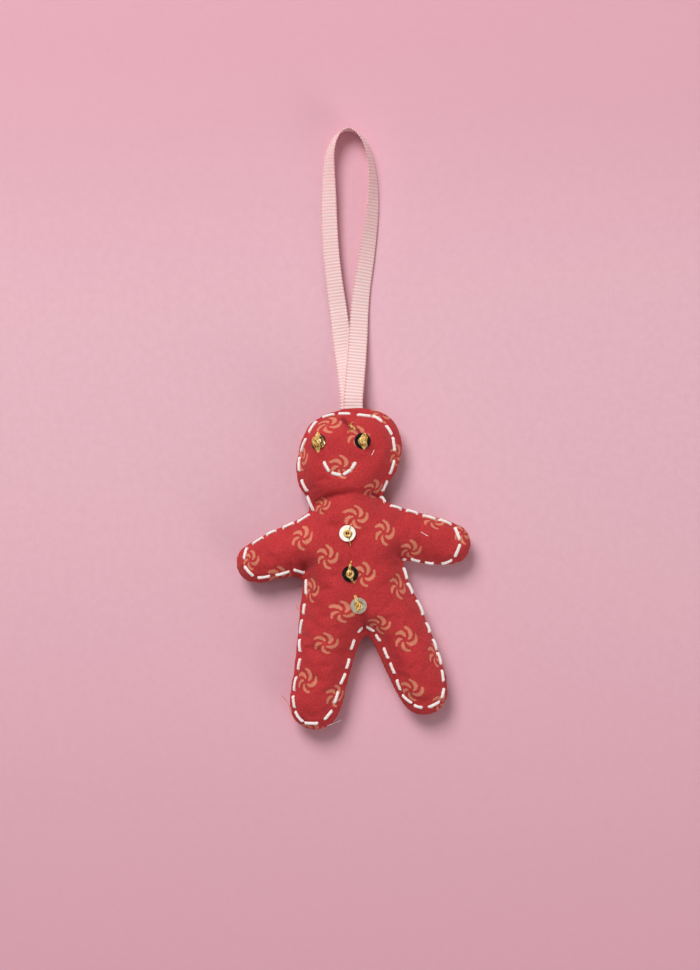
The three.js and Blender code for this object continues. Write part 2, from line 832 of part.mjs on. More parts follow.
addPiece('edge_stitching', flossThrough(edgeStitches, () => rimTop, () => rimBottom), whiteFloss);
addPiece('mouth_stitching', flossThrough(mouthRun, frontOuter, frontInner), whiteFloss);

// A cupped disc with a hole, and a round bead with a wide hole, both turned about their own axis

function sequinGeometry() {
  const profile = [
    flat(sequinHole / 2, 0),
    flat(sequinDiameter / 2, sequinCup),
    flat(sequinDiameter / 2, sequinCup + sequinThickness),
    flat(sequinHole / 2, sequinThickness),
    flat(sequinHole / 2, 0),
  ];
  return new THREE.LatheGeometry(profile, sequinSides).rotateX(Math.PI / 2);
}

function beadGeometry() {
  const middle = (beadDiameter + beadHole) / 4;
  const half = (beadDiameter - beadHole) / 4;
  const steps = 8;
  const profile = Array.from({ length: steps + 1 }, (_, step) => {
    const turn = 2 * Math.PI * step / steps;
    return flat(middle - half * Math.cos(turn), beadHeight / 2 * (1 - Math.sin(turn)));
  });
  return new THREE.LatheGeometry(profile, beadSides).rotateX(Math.PI / 2);
}

// Gold thread: out of the cloth beside the sequin, over its rim and down through the bead, and back likewise
function goldThreadGeometry(seat, sequinZ, beadZ) {
  const local = (y, z) => new THREE.Vector3(0, y, z).applyMatrix4(seat.frame);
  const radius = goldDiameter / 2;
  const over = radius + seatClearance;
  const sides = [1, -1].map((way, index) => {
    const hold = seat.holds[index];
    const holdZ = frontOuter(hold.x, hold.y);
    const rim = sequinZ + sequinCup + sequinThickness;
    return [
      new THREE.Vector3(hold.x, hold.y, holdZ - fabricThickness - over),
      new THREE.Vector3(hold.x, hold.y, holdZ + over),
      local(way * sequinDiameter / 2, rim + over),
      local(way * (beadDiameter / 2 + over), beadZ + beadHeight / 2 + over),
      local(way * (beadDiameter + beadHole) / 4, beadZ + beadHeight + over),
      local(way * goldLegApart, beadZ + beadHeight - over),
      local(way * goldLegApart, -fabricThickness - over),
    ];
  });
  const points = [...sides[0], ...sides[1].reverse()];
  return threadAlong(points, points.map(() => radius), goldSides);
}

for (const seat of sequinSeats) {
  const place = new THREE.Group();
  seat.frame.decompose(place.position, place.quaternion, place.scale);
  ornament.add(place);
  const sequinZ = seatClearance;
  const beadZ = sequinZ + sequinThickness + seatClearance;
  addPiece(`${seat.name}_sequin`, sequinGeometry(), mirrorFoil, place).position.z = sequinZ;
  addPiece(`${seat.name}_bead`, beadGeometry(), goldMetal, place).position.z = beadZ;
  addPiece(`${seat.name}_thread`, goldThreadGeometry(seat, sequinZ, beadZ), goldMetal);
}

// The tie-off stitch on the forehead
function knotGeometry() {
  const radius = goldDiameter / 2;
  const over = radius + threadClearance;
  const [first, last] = knotEnds;
  const at = (spot, lift) => new THREE.Vector3(spot.x, spot.y, frontOuter(spot.x, spot.y) + lift);
  const points = [
    at(first, -fabricThickness - over),
    at(first, over),
    at(first.clone().lerp(last, 0.5), 2 * over),
    at(last, over),
    at(last, -fabricThickness - over),
  ];
  return threadAlong(points, points.map(() => radius), goldSides);
}

addPiece('forehead_stitch', knotGeometry(), goldMetal);

addPiece('ribbon_loop', ribbonLoopGeometry(), pinkRibbon);
const backStation = loopStations[0];
const frontStation = loopStations[loopStations.length - 1];
addPiece('ribbon_back_end', ribbonTailGeometry(backStation[0], backStation[2]), pinkRibbon);
addPiece('ribbon_front_end', ribbonTailGeometry(frontStation[0], frontStation[2]), pinkRibbon);

// The figure's own box, without the ribbon, is centred over the origin
const figureCentre = outlineBox.getCenter(flat(0, 0));
ornament.position.set(-figureCentre.x, -figureCentre.y, 0);

export default ornament;
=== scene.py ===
import math
import random
from functools import partial

import bmesh
import bpy
import numpy as np
from mathutils import Matrix, Vector, kdtree, noise
from mathutils.bvhtree import BVHTree


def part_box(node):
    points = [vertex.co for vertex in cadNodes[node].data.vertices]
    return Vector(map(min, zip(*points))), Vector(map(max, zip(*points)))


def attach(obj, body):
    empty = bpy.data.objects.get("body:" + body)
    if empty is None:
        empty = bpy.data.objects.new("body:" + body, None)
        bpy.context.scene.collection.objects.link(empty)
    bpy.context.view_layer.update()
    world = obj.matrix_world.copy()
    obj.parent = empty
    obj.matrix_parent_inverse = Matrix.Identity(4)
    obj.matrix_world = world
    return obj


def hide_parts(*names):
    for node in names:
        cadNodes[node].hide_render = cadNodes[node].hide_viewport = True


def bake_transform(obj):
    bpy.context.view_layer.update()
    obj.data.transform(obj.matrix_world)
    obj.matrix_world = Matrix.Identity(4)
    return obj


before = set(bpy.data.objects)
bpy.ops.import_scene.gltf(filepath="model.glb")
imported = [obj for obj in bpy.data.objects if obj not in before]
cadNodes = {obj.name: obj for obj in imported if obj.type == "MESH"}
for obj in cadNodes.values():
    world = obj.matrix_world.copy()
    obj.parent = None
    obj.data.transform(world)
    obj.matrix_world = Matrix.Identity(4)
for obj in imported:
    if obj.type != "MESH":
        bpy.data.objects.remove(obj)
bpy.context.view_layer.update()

mm = 0.001
scene = bpy.context.scene
scene.view_settings.view_transform = "Standard"
noise.seed_set(11)


# camera straight above the table, as in the photograph
view = {"x": -1.08, "y": 26.01, "height": 750.0, "seam": 5.85, "pitch": 0.31,
        "midX": 353.484, "midY": 568.903, "lens": 89.8, "sensor": 36.0}
seamZ = view["seam"] * mm

eye = Vector((view["x"], view["y"], view["seam"] + view["height"])) * mm
cameraData = bpy.data.cameras.new("overheadCamera")
cameraData.lens = view["lens"]
cameraData.sensor_width = view["sensor"]
cameraData.clip_start = 0.01
camera = bpy.data.objects.new("overheadCamera", cameraData)
camera.location = eye
scene.collection.objects.link(camera)
scene.camera = camera


def pixelRay(px, py):
    right, up = (px - view["midX"]) * view["pitch"], (view["midY"] - py) * view["pitch"]
    return (Vector((right, up, view["seam"])) * mm - eye).normalized()


def pixelAt(px, py, z):
    ray = pixelRay(px, py)
    return eye + ray * ((z - eye.z) / ray.z)


def tint(red, green, blue):
    parts = [part / 255 for part in (red, green, blue)]
    parts = [p / 12.92 if p <= 0.04045 else ((p + 0.055) / 1.055) ** 2.4 for p in parts]
    return (*parts, 1.0)


# paths and tubes
def smoothPath(points, steps, closed=False):
    path = []
    count = len(points)
    for i in range(count if closed else count - 1):
        if closed:
            a, b, c, d = (points[(i + k) % count] for k in (-1, 0, 1, 2))
        else:
            a, b, c, d = (points[min(max(i + k, 0), count - 1)] for k in (-1, 0, 1, 2))
        for step in range(steps):
            t = step / steps
            path.append(0.5 * (2 * b + (c - a) * t + (2 * a - 5 * b + 4 * c - d) * t ** 2
                               + (3 * b - 3 * c + d - a) * t ** 3))
    if not closed:
        path.append(points[-1].copy())
    return path


def pathReach(points):
    reach = [0.0]
    for a, b in zip(points, points[1:]):
        reach.append(reach[-1] + (b.xyz - a.xyz).length)
    return reach


def evenPath(points, count):
    reach, path, k = pathReach(points), [], 0
    for i in range(count + 1):
        want = reach[-1] * i / count
        while k < len(points) - 2 and reach[k + 1] < want:
            k += 1
        gap = (reach[k + 1] - reach[k]) or 1.0
        path.append(points[k].lerp(points[k + 1], (want - reach[k]) / gap))
    return path


def pathFrames(points, across):
    frames, last = [], len(points) - 1
    for i, point in enumerate(points):
        forward = (points[min(i + 1, last)] - points[max(i - 1, 0)]).normalized()
        across = (across - forward * across.dot(forward)).normalized()
        frames.append((point, across, forward.cross(across)))
    return frames


# section(step, turn) gives the offset across and up at one point round the tube
def addTube(bm, frames, around, section, uvLayer=None, reach=None):
    along = len(frames) - 1
    made = bmesh.ops.create_grid(bm, x_segments=along, y_segments=around, size=0.5)["verts"]
    lowX, lowY = min(v.co.x for v in made), min(v.co.y for v in made)
    spanX, spanY = max(v.co.x for v in made) - lowX, max(v.co.y for v in made) - lowY
    place = {v: (round((v.co.x - lowX) / spanX * along), round((v.co.y - lowY) / spanY * around))
             for v in made}
    if uvLayer:
        for face in {face for v in made for face in v.link_faces}:
            for loop in face.loops:
                step, turn = place[loop.vert]
                loop[uvLayer].uv = (reach[step], turn / around)
    for v, (step, turn) in place.items():
        point, across, up = frames[step]
        a, b = section(step, turn % around)
        v.co = point + across * a + up * b
    bmesh.ops.remove_doubles(bm, verts=made, dist=1e-8)
    made = [v for v in made if v.is_valid]
    ends = dict.fromkeys(edge for v in made for edge in v.link_edges if edge.is_boundary)
    bmesh.ops.holes_fill(bm, edges=list(ends), sides=around + 1)


# a thread of twisted plies along a path
def addThread(bm, path, half, thread):
    reach = pathReach(path)

    def section(step, turn):
        angle = math.tau * turn / thread["around"]
        twist = math.tau * reach[step] / (thread["turn"] * mm)
        r = half * mm * (1 + thread["bulge"] * math.cos(thread["plies"] * (angle - twist)))
        return r * math.cos(angle), r * math.sin(angle) * thread["flat"]

    addTube(bm, pathFrames(path, Vector(thread["across"])), thread["around"], section)


# falls from 1 at no gap to nothing well past the width in mm
def bell(gap, wide, power=2):
    return np.exp(-(gap / (wide * mm)) ** power)


def pieceName(node, kind):
    first, *others = node.split("_")
    return first + "".join(word.capitalize() for word in others) + kind


def makeObject(name, bm, material):
    bmesh.ops.recalc_face_normals(bm, faces=bm.faces)
    for face in bm.faces:
        face.smooth = True
    mesh = bpy.data.meshes.new(name)
    bm.to_mesh(mesh)
    bm.free()
    mesh.materials.append(material)
    piece = bpy.data.objects.new(name, mesh)
    scene.collection.objects.link(piece)
    return piece


# material helpers
def newMaterial(name):
    material = bpy.data.materials.new(name)
    material.use_nodes = True
    return material, material.node_tree, material.node_tree.nodes["Principled BSDF"]


def calc(tree, operation, *values):
    node = tree.nodes.new("ShaderNodeMath")
    node.operation = operation
    for socket, value in zip(node.inputs, values):
        if isinstance(value, (int, float)):
            socket.default_value = value
        else:
            tree.links.new(value, socket)
    return node.outputs[0]


def arithmetic(tree):
    return [partial(calc, tree, sign) for sign in ("ADD", "SUBTRACT", "MULTIPLY", "DIVIDE")]


def ramp(tree, value, low, high, start=0.0, end=1.0):
    node = tree.nodes.new("ShaderNodeMapRange")
    node.interpolation_type = "SMOOTHSTEP"
    for socket, number in zip(node.inputs[1:5], (low, high, start, end)):
        socket.default_value = number
    tree.links.new(value, node.inputs[0])
    return node.outputs[0]


def mixColor(tree, factor, first, second):
    node = tree.nodes.new("ShaderNodeMix")
    node.data_type = "RGBA"
    sockets = node.inputs[0], node.inputs[6], node.inputs[7]
    for socket, value in zip(sockets, (factor, first, second)):
        if isinstance(value, (int, float, tuple)):
            socket.default_value = value
        else:
            tree.links.new(value, socket)
    return node.outputs[2]


def speckle(tree, vector, scale, detail=2.0):
    node = tree.nodes.new("ShaderNodeTexNoise")
    node.inputs["Scale"].default_value = scale
    node.inputs["Detail"].default_value = detail
    tree.links.new(vector, node.inputs["Vector"])
    return node.outputs[0]


def objectCoords(tree):
    return tree.nodes.new("ShaderNodeTexCoord").outputs["Object"]


def uvCoords(tree, layer):
    node = tree.nodes.new("ShaderNodeUVMap")
    node.uv_map = layer
    parts = tree.nodes.new("ShaderNodeSeparateXYZ")
    tree.links.new(node.outputs[0], parts.inputs[0])
    return parts.outputs[0], parts.outputs[1]


def pointValue(tree, name):
    node = tree.nodes.new("ShaderNodeAttribute")
    node.attribute_name = name
    return node.outputs["Fac"]


def addBump(tree, shader, height, distance, strength=1.0):
    node = tree.nodes.new("ShaderNodeBump")
    node.inputs["Strength"].default_value = strength
    node.inputs["Distance"].default_value = distance
    tree.links.new(height, node.inputs["Height"])
    tree.links.new(node.outputs[0], shader.inputs["Normal"])


def setSockets(shader, values):
    for socket, value in values.items():
        shader.inputs[socket].default_value = value


# two close shades mottled by one noise, which also varies the roughness
def speckledMaterial(name, scale, detail, blend, dark, light, fixed, rough=None, bump=None):
    material, tree, shader = newMaterial(name)
    grain = speckle(tree, objectCoords(tree), scale, detail)
    mottled = mixColor(tree, ramp(tree, grain, *blend), dark, light)
    tree.links.new(mottled, shader.inputs["Base Color"])
    setSockets(shader, fixed)
    if rough:
        tree.links.new(ramp(tree, grain, *rough), shader.inputs["Roughness"])
    if bump:
        addBump(tree, shader, grain, bump)
    return material


# ribbon loop: x and y from the seam, height and lean of each station
ribbon = {"baseX": -0.442, "baseY": 50.9707, "width": 6.0, "thickness": 0.34, "ribPitch": 1.0,
          "ribDepth": 0.05, "picot": 0.1, "perRib": 8, "tailEnd": 45.87, "tailTop": 50.12,
          # light and shade are painted light and painted shade on the rib crests and in the grooves
          "light": tint(250, 221, 218), "shade": tint(242, 194, 193),
          "selvedge": tint(222, 148, 152), "soak": 0.3, "soakDepth": 0.5}
ribbonStations = [
    (-0.8, 0, 5.5, 0), (-0.9, 3, 5.5, 0), (-1.8, 11, 3.6, -3), (-2.9, 18.5, 1.6, -8),
    (-4.2, 28.5, 1.3, -16), (-5.5, 38, 1.9, -28), (-6.6, 48, 2, -31), (-7.1, 58, 2.1, -34),
    (-7.2, 66, 2.4, -42), (-7.2, 73.5, 2.8, -54), (-6.8, 78.6, 3, -64), (-5.5, 82.4, 3.1, -73),
    (-3.4, 85.1, 3.1, -83), (-1.2, 85.8, 3.1, -88), (1.2, 84.9, 3.1, -84), (3.4, 82.6, 3.1, -78),
    (5, 79.2, 3.1, -74), (6.1, 74, 3, -68), (6.6, 67, 2.8, -59), (6.3, 60, 2.6, -50),
    (5.4, 52, 2.4, -42), (4.2, 44, 2.1, -32), (3, 36, 1.8, -25), (2.3, 28.5, 1.9, -18),
    (1.8, 19.5, 2.6, -8), (1.2, 11, 4.4, -3), (0.5, 3, 6.2, 0), (0.4, 0, 6.2, 0)]


def grosgrainMaterial():
    material, tree, shader = newMaterial("pinkGrosgrain")
    along, around = uvCoords(tree, "ribbonUv")
    turns = calc(tree, "MULTIPLY", along, math.tau / (ribbon["ribPitch"] * mm))
    wave = calc(tree, "COSINE", turns)
    # painted light and shade: the rib crests are coloured lighter and the grooves between them darker,
    # following the ribs of the shape
    paintedRibShading = calc(tree, "MULTIPLY", ramp(tree, wave, -0.9, 0.7), 0.8)
    fibres = speckle(tree, objectCoords(tree), 2600.0, 3.0)
    blend = calc(tree, "ADD", paintedRibShading, calc(tree, "MULTIPLY", fibres, 0.25))
    weave = mixColor(tree, blend, ribbon["shade"], ribbon["light"])
    # deeper between the loops of the two selvedges
    edge = calc(tree, "FLOORED_MODULO", calc(tree, "ADD", around, 0.05), 0.5)
    edge = calc(tree, "MINIMUM", edge, calc(tree, "SUBTRACT", 0.5, edge))
    loops = calc(tree, "MULTIPLY", ramp(tree, edge, 0.04, 0.11, 1.0, 0.0),
                 ramp(tree, wave, -0.6, 0.6, 0.95, 0.25))
    tree.links.new(mixColor(tree, loops, weave, ribbon["selvedge"]), shader.inputs["Base Color"])
    tree.links.new(ramp(tree, fibres, 0.2, 0.8, 0.5, 0.68), shader.inputs["Roughness"])
    addBump(tree, shader, fibres, 0.00004)
    # thin enough for light to soak through
    setSockets(shader, {"Sheen Weight": 0.25, "Sheen Roughness": 0.4,
                        "Subsurface Weight": ribbon["soak"],
                        "Subsurface Scale": ribbon["soakDepth"] * mm,
                        "Subsurface Radius": (1.0, 0.5, 0.5)})
    return material


# the two sewn-in ends carry on straight below the first and last stations
def ribbonFrames():
    rise = ribbon["tailTop"] - ribbon["tailEnd"]
    tails = [ribbon["tailEnd"] + rise * k / 3 - ribbon["baseY"] for k in range(4)]
    first, last = ribbonStations[0], ribbonStations[-1]
    rows = [(first[0], y, first[2], 0) for y in tails] + ribbonStations
    rows += [(last[0], y, last[2], 0) for y in reversed(tails)]
    knots = [Vector((ribbon["baseX"] + x, ribbon["baseY"] + y, z, lean)) for x, y, z, lean in rows]
    fine = smoothPath(knots, 24)
    length = pathReach(fine)[-1]
    count = round(length / ribbon["ribPitch"]) * ribbon["perRib"]
    even = evenPath(fine, count)
    frames = []
    for i, row in enumerate(even):
        forward = (even[min(i + 1, count)].xyz - even[max(i - 1, 0)].xyz).normalized()
        level = forward.cross(Vector((0, 0, 1))).normalized()
        lean = math.radians(row.w)
        width = level * math.cos(lean) - level.cross(forward) * math.sin(lean)
        frames.append((row.xyz * mm, width, width.cross(forward)))
    return frames, length * mm


def makeRibbon():
    frames, length = ribbonFrames()
    count = len(frames) - 1
    columns = [-0.97, -0.85, -0.6, -0.3, 0.0, 0.3, 0.6, 0.85, 0.97]
    back = [(c, -1) for c in reversed(columns)]
    ring = [(c, 1) for c in columns] + [(1.0, 0)] + back + [(-1.0, 0)]
    half = ribbon["width"] / 2 * mm

    def section(step, turn):
        rib = math.cos(math.tau * step / ribbon["perRib"])
        across, face = ring[turn]
        edge = half + ribbon["picot"] * mm * (rib - 0.4)
        rise = ribbon["thickness"] / 2 * mm + ribbon["ribDepth"] * mm * rib
        if abs(across) > 0.9:
            rise *= 0.7
        return across * edge, face * rise

    bm = bmesh.new()
    layer = bm.loops.layers.uv.new("ribbonUv")
    reach = [length * i / count for i in range(count + 1)]
    addTube(bm, frames, len(ring), section, layer, reach)
    piece = makeObject("ribbonLoop", bm, grosgrainMaterial())
    middle = evenPath([f[0] for f in frames], 60)
    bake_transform(piece)
    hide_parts("ribbon_loop", "ribbon_back_end", "ribbon_front_end")
    print("ribbon", round(length * 1000, 1), "mm")


makeRibbon()


# figure outline, read from the front panel's rim
outline = {"cutUp": 0.9, "steps": 8, "points": 1400, "grow": 0.25, "leastMargin": 0.8,
           "stitchUp": 1.5, "easeOver": 2.2, "spread": 20, "iron": 12, "nip": 0.22, "nipOver": 1.3}


def panelLoop(node):
    bm = bmesh.new()
    bm.from_mesh(cadNodes[node].data)
    bmesh.ops.remove_doubles(bm, verts=bm.verts, dist=1e-6)
    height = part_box(node)[0].z + outline["cutUp"] * mm
    geom = bm.verts[:] + bm.edges[:] + bm.faces[:]
    cut = bmesh.ops.bisect_plane(bm, geom=geom, plane_co=(0, 0, height), plane_no=(0, 0, 1))
    edges = {part for part in cut["geom_cut"] if isinstance(part, bmesh.types.BMEdge)}
    loops = []
    while edges:
        edge = edges.pop()
        start, here = edge.verts
        loop = [start.co.copy(), here.co.copy()]
        while here is not start:
            step = next((e for e in here.link_edges if e in edges), None)
            if step is None:
                break
            edges.remove(step)
            here = step.other_vert(here)
            loop.append(here.co.copy())
        loops.append(loop[:-1])
    bm.free()
    best = max(loops, key=lambda loop: pathReach(loop)[-1])
    area = sum(a.x * b.y - b.x * a.y for a, b in zip(best, best[1:] + best[:1]))
    best = best if area > 0 else best[::-1]
    # always from the crown, so that each run is the same
    crown = max(range(len(best)), key=lambda k: (best[k].y, best[k].x))
    return best[crown:] + best[:crown]


rimCorners = [Vector((p.x, p.y, 0)) for p in panelLoop("front_panel")]
rimCurve = smoothPath(rimCorners, outline["steps"], closed=True)
rimCurve = evenPath(rimCurve + rimCurve[:1], outline["points"])[:-1]


def rimGuide(curve):
    outward, tree = [], kdtree.KDTree(len(curve))
    for i, point in enumerate(curve):
        along = (curve[(i + 1) % len(curve)] - curve[i - 1]).normalized()
        outward.append(Vector((along.y, -along.x, 0)))
        tree.insert(point, i)
    tree.balance()
    return outward, tree, np.array([point[:2] for point in curve])


rimOut, rimTree, rimRing = rimGuide(rimCurve)


# positive inside the outline, by counting the edges that a level line crosses
def depthInside(x, y):
    near, index, gap = rimTree.find(Vector((x, y, 0)))
    after = np.roll(rimRing, -1, axis=0)
    spans = (rimRing[:, 1] > y) != (after[:, 1] > y)
    a, b = rimRing[spans], after[spans]
    meets = a[:, 0] + (y - a[:, 1]) * (b[:, 0] - a[:, 0]) / (b[:, 1] - a[:, 1])
    return (gap if np.count_nonzero(x < meets) % 2 else -gap), near, index


# white running stitch, in pixels of the photograph, clockwise from the crown
edgeStitches = [
    (322, 418, 334.5, 414.5), (338.5, 414, 350.5, 414), (357, 415, 371, 416.5),
    (372.5, 416, 382, 422), (385.5, 425.5, 391.5, 435), (392.5, 437, 394.5, 451),
    (394, 460, 389.5, 474), (387, 480.5, 382, 491), (381, 496.5, 385, 502.5),
    (390, 506, 401.5, 509.5), (406, 510.5, 418, 514), (422.5, 515.5, 435.5, 519.5),
    (438.5, 520, 451.5, 525), (454.5, 527.5, 459.5, 540), (460, 544, 454.5, 557),
    (452, 559.5, 441.5, 563.5), (433.5, 563, 425, 562), (420, 561, 411, 558.5),
    (406, 559, 402.5, 559), (403, 567.5, 406.5, 579), (407.5, 583, 412.5, 593.5),
    (416.5, 600, 423, 615), (425.5, 622.5, 429.5, 632.5), (432.5, 639, 436, 650),
    (437, 652.5, 440.5, 664.5), (441.5, 670, 443, 681.5), (443.5, 688, 441, 698),
    (439.5, 701, 428, 707), (422.5, 707.5, 414, 705), (412, 703, 402.5, 694.5),
    (401, 690, 397, 679.5), (395, 673.5, 390.5, 662.5), (388.5, 658.5, 384, 647.5),
    (380.5, 641, 376, 634), (374.5, 631, 366.5, 626), (362, 627, 357.5, 632),
    (354, 639, 350.5, 649.5), (349, 658.5, 346, 668.5), (345, 673, 340, 684), (338, 691, 334, 703),
    (332, 710, 324, 719.5), (318, 723, 304.5, 722.5), (303, 721.5, 295.5, 711),
    (295, 708, 293.5, 695.5), (294.5, 691, 297, 676.5), (298.5, 670, 300.5, 658.5),
    (300.5, 652, 300, 639), (300.5, 634, 302.5, 619.5), (304, 614.5, 305, 603.5),
    (306.5, 594.5, 306.5, 579.5), (304.5, 573, 293.5, 569.5), (289.5, 571, 275.5, 575),
    (270, 575.5, 257.5, 577.5), (253.5, 576, 244.5, 566), (244, 559.5, 247.5, 547.5),
    (252.5, 544.5, 263.5, 537.5), (266.5, 535.5, 276.5, 530.5), (282.5, 528.5, 294, 523),
    (297.5, 522.5, 310, 514.5), (314, 511, 307.5, 495.5), (307.5, 491.5, 301.5, 479.5),
    (299.5, 471.5, 300, 457), (301.5, 452, 306.5, 438.5), (309, 433, 317, 421.5)]
mouthStitches = [(324, 462, 329, 471.5), (332, 473, 340.5, 475), (343.5, 474.5, 350.5, 470),
                 (351.5, 469, 355.5, 462.5)]


# the cotton's edge keeps outside every stitch, and nips in a little between them
def easeOutline():
    push = np.full(len(rimCurve), outline["grow"] * mm)
    ring, edgeZ = rimRing, seamZ + outline["stitchUp"] * mm
    for ax, ay, bx, by in edgeStitches:
        for t in (0.0, 0.25, 0.5, 0.75, 1.0):
            spot = pixelAt(ax + (bx - ax) * t, ay + (by - ay) * t, edgeZ)
            short = outline["leastMargin"] * mm - depthInside(spot.x, spot.y)[0]
            if short > 0:
                gap = np.hypot(ring[:, 0] - spot.x, ring[:, 1] - spot.y)
                push = np.maximum(push, short * bell(gap, outline["easeOver"]))
    for turn in range(outline["spread"]):
        push = (np.roll(push, 1) + push * 2 + np.roll(push, -1)) / 4
    for here, after in zip(edgeStitches, edgeStitches[1:] + edgeStitches[:1]):
        hole = pixelAt((here[2] + after[0]) / 2, (here[3] + after[1]) / 2, seamZ)
        gap = np.hypot(ring[:, 0] - hole.x, ring[:, 1] - hole.y) - outline["leastMargin"] * mm
        push -= outline["nip"] * mm * bell(np.maximum(gap, 0), outline["nipOver"])
    ring = ring + np.array([way[:2] for way in rimOut]) * push[:, None]
    for turn in range(outline["iron"]):
        ring = (np.roll(ring, 1, axis=0) + ring * 2 + np.roll(ring, -1, axis=0)) / 4
    moved = [Vector((x, y, 0)) for x, y in ring]
    print("outline eased by up to", round(float(push.max() * 1000), 2), "mm")
    return evenPath(moved + moved[:1], outline["points"])[:-1]


rimCurve = easeOutline()
rimOut, rimTree, rimRing = rimGuide(rimCurve)

# sequins sit square to the cotton: seat in mm and the way it faces,
# ends of the gold stitch in pixels, and the lanes of its passes across the bead
trims = {
    "left_eye": {"seat": (-10.686, 39.1538, 12.52), "axis": (-0.4807, 0.2657, 0.8356), "cup": 0.03,
                 "stitch": (318.3, 432.5, 318.5, 451.5), "drops": (0.1,), "crinkle": 0.18,
                 "passes": (-0.95, -0.5, 0.0, 0.5, 0.95)},
    "right_eye": {"seat": (2.7815, 39.511, 13.9044), "axis": (0.0775, 0.1233, 0.9893), "cup": 0.02,
                  "stitch": (364.5, 433.5, 364, 449), "drops": (-0.2,), "crinkle": 0.16,
                  "passes": (-1.0, -0.65, -0.25, 0.15, 0.5)},
    "top_button": {"seat": (-1.846, 11.1843, 14.9271), "axis": (-0.0141, 0.0342, 0.9993),
                   "cup": 0.08, "lean": (-0.075, 0.085, 0.0),
                   "stitch": (351, 523.5, 350, 545.5), "drops": (0.0,), "crinkle": 0.05,
                   "passes": ()},
    "middle_button": {"seat": (-1.0441, -1.2307, 15.005), "axis": (-0.0078, -0.016, 0.9998),
                      "cup": 0.03, "stitch": (351, 561.5, 354.5, 583), "drops": (0.0,), "crinkle": 0.14,
                      "passes": (0.55,)},
    "bottom_button": {"seat": (1.5663, -10.9578, 14.572), "axis": (0.0269, -0.1061, 0.994),
                      "cup": 0.08, "stitch": (355, 595.5, 357.5, 613), "drops": (0.1,), "crinkle": 0.12,
                      "passes": (-0.25, 0.3)}}


def seatAxis(trim):
    return Vector(trim["seat"]) * mm, Vector(trim["axis"]).normalized()


def heightsAbove(node, seat, axis):
    spans = [(v.co - seat).dot(axis) for v in cadNodes[node].data.vertices]
    return min(spans), max(spans)


# cotton body: two sheets sewn together at the outline and blown up over the filling
cotton = {"pitch": 0.75, "edgeRise": 3.3, "edgeRun": 4.6, "backRise": 3.0, "backRun": 4.2,
          "smooth": 10, "cloth": 0.3, "hem": 1.3, "hemSteps": (0.35, 1.0), "hemDraw": 0.74,
          "hemGap": 0.12, "rimGap": 0.06, "ribbonLift": 0.62, "ribbonLow": -4.5,
          "ribbonHigh": 3.2, "gapeReach": 6.5, "gapeFade": 1.6, "gapeRoom": 0.08,
          "gapeShare": 0.15, "holeReach": 0.9, "tableGap": 0.05,
          "simScale": 25.0, "simFrames": 20, "puckerIron": 40, "puckerCap": 0.9, "seatReach": 3.4,
          "seatGap": 0.05, "creaseZ": 12.5, "mouthZ": 13.5, "stitchZ": 2.5, "threadPitch": 0.36,
          "red": tint(205, 57, 59), "deep": tint(168, 38, 44), "tan": tint(224, 143, 112),
          # the last colour is painted shade, the dark red laid along the folds
          "fold": tint(118, 16, 30)}
clothSettings = {"quality": 6, "mass": 0.2, "tension_stiffness": 25, "compression_stiffness": 25,
                 "shear_stiffness": 12, "bending_stiffness": 0.4, "air_damping": 1.0,
                 "use_pressure": True, "uniform_pressure_force": 3.0,
                 "shrink_min": -0.035, "shrink_max": -0.035,
                 "vertex_group_mass": "sewn", "pin_stiffness": 1.0}

# how deep each kind of stitch pulls the cotton in, and how wide, in mm
pulls = {"stitch": (0.55, 0.65), "between": (0.3, 0.35), "back": (0.6, 0.7), "mouth": (0.35, 0.8),
         "seat": (0.35, 2.6, 4)}
pins = {"front": 0.3, "back": 0.35}    # pulled deeper than this, a point is held in the simulation

# print lattice in mm of flat cloth, and the comma that is drawn five times round each point
whirl = {"origin": (-0.50, 14.17), "stepA": (9.49, -4.87), "stepB": (3.29, -15.56),
         "drawReach": 3.0, "inkReach": 4.0, "iron": 6, "leastFacing": 0.34, "leastWeight": 0.002,
         "commas": 5, "start": 0.9, "length": 2.6, "curl": 80, "curlAt": 3.8, "turn": -57,
         "plump": 0.1, "plumpAt": 0.9, "wander": 0.9}

# creases: pixels along the line, depth and half width in mm
creases = [
    ([(309, 507), (318, 502), (330, 496.5), (350, 492), (368, 492.5), (381, 497)], 1.5, 0.95),
    ([(309, 507), (330, 497), (350, 492), (368, 492), (381, 497)], 0.9, 3.0),
    ([(303, 570), (312, 564)], 0.7, 1.6), ([(296, 556), (301, 562), (306, 571)], 0.65, 2.0),
    ([(403, 560), (398, 554)], 0.35, 1.1), ([(402, 556), (399, 545), (399, 530)], 0.25, 0.7),
    ([(402, 558), (393, 548)], 0.25, 0.6), ([(402, 560), (391, 557)], 0.22, 0.6),
    ([(305, 571), (316, 571)], 0.25, 0.7), ([(305, 569), (314, 560)], 0.25, 0.7),
    ([(310, 516), (308, 540), (306, 566)], 0.4, 1.8),
    ([(366, 631), (364, 622), (359, 611)], 1.0, 1.5),
    ([(344, 420.5), (348, 424.5), (352, 427.5)], 1.1, 0.75),
    ([(344, 421), (352, 428), (359, 433)], 0.7, 2.0), ([(348, 541), (350, 563)], 0.25, 0.7)]

# lines where the cotton folds on itself, darkened with painted shade: pixels, strength of the painted
# shade, half width in mm
paintedFoldLines = [
    ([(311, 506), (320, 500.5), (332, 496), (350, 492.5), (368, 493), (381, 497)], 0.55, 0.4),
    ([(343, 419.5), (348, 424.5), (352, 427.5)], 1.0, 0.6), ([(356, 430), (361, 434)], 0.8, 0.5),
    ([(403, 560), (397, 553)], 0.45, 0.5), ([(402, 558), (399, 546)], 0.35, 0.6),
    ([(304, 571), (313, 564)], 0.6, 0.6), ([(300, 561), (305, 569)], 0.4, 1.0),
    ([(366, 629), (363, 620)], 0.45, 0.7), ([(349.5, 545), (350.5, 562)], 0.25, 0.4)]


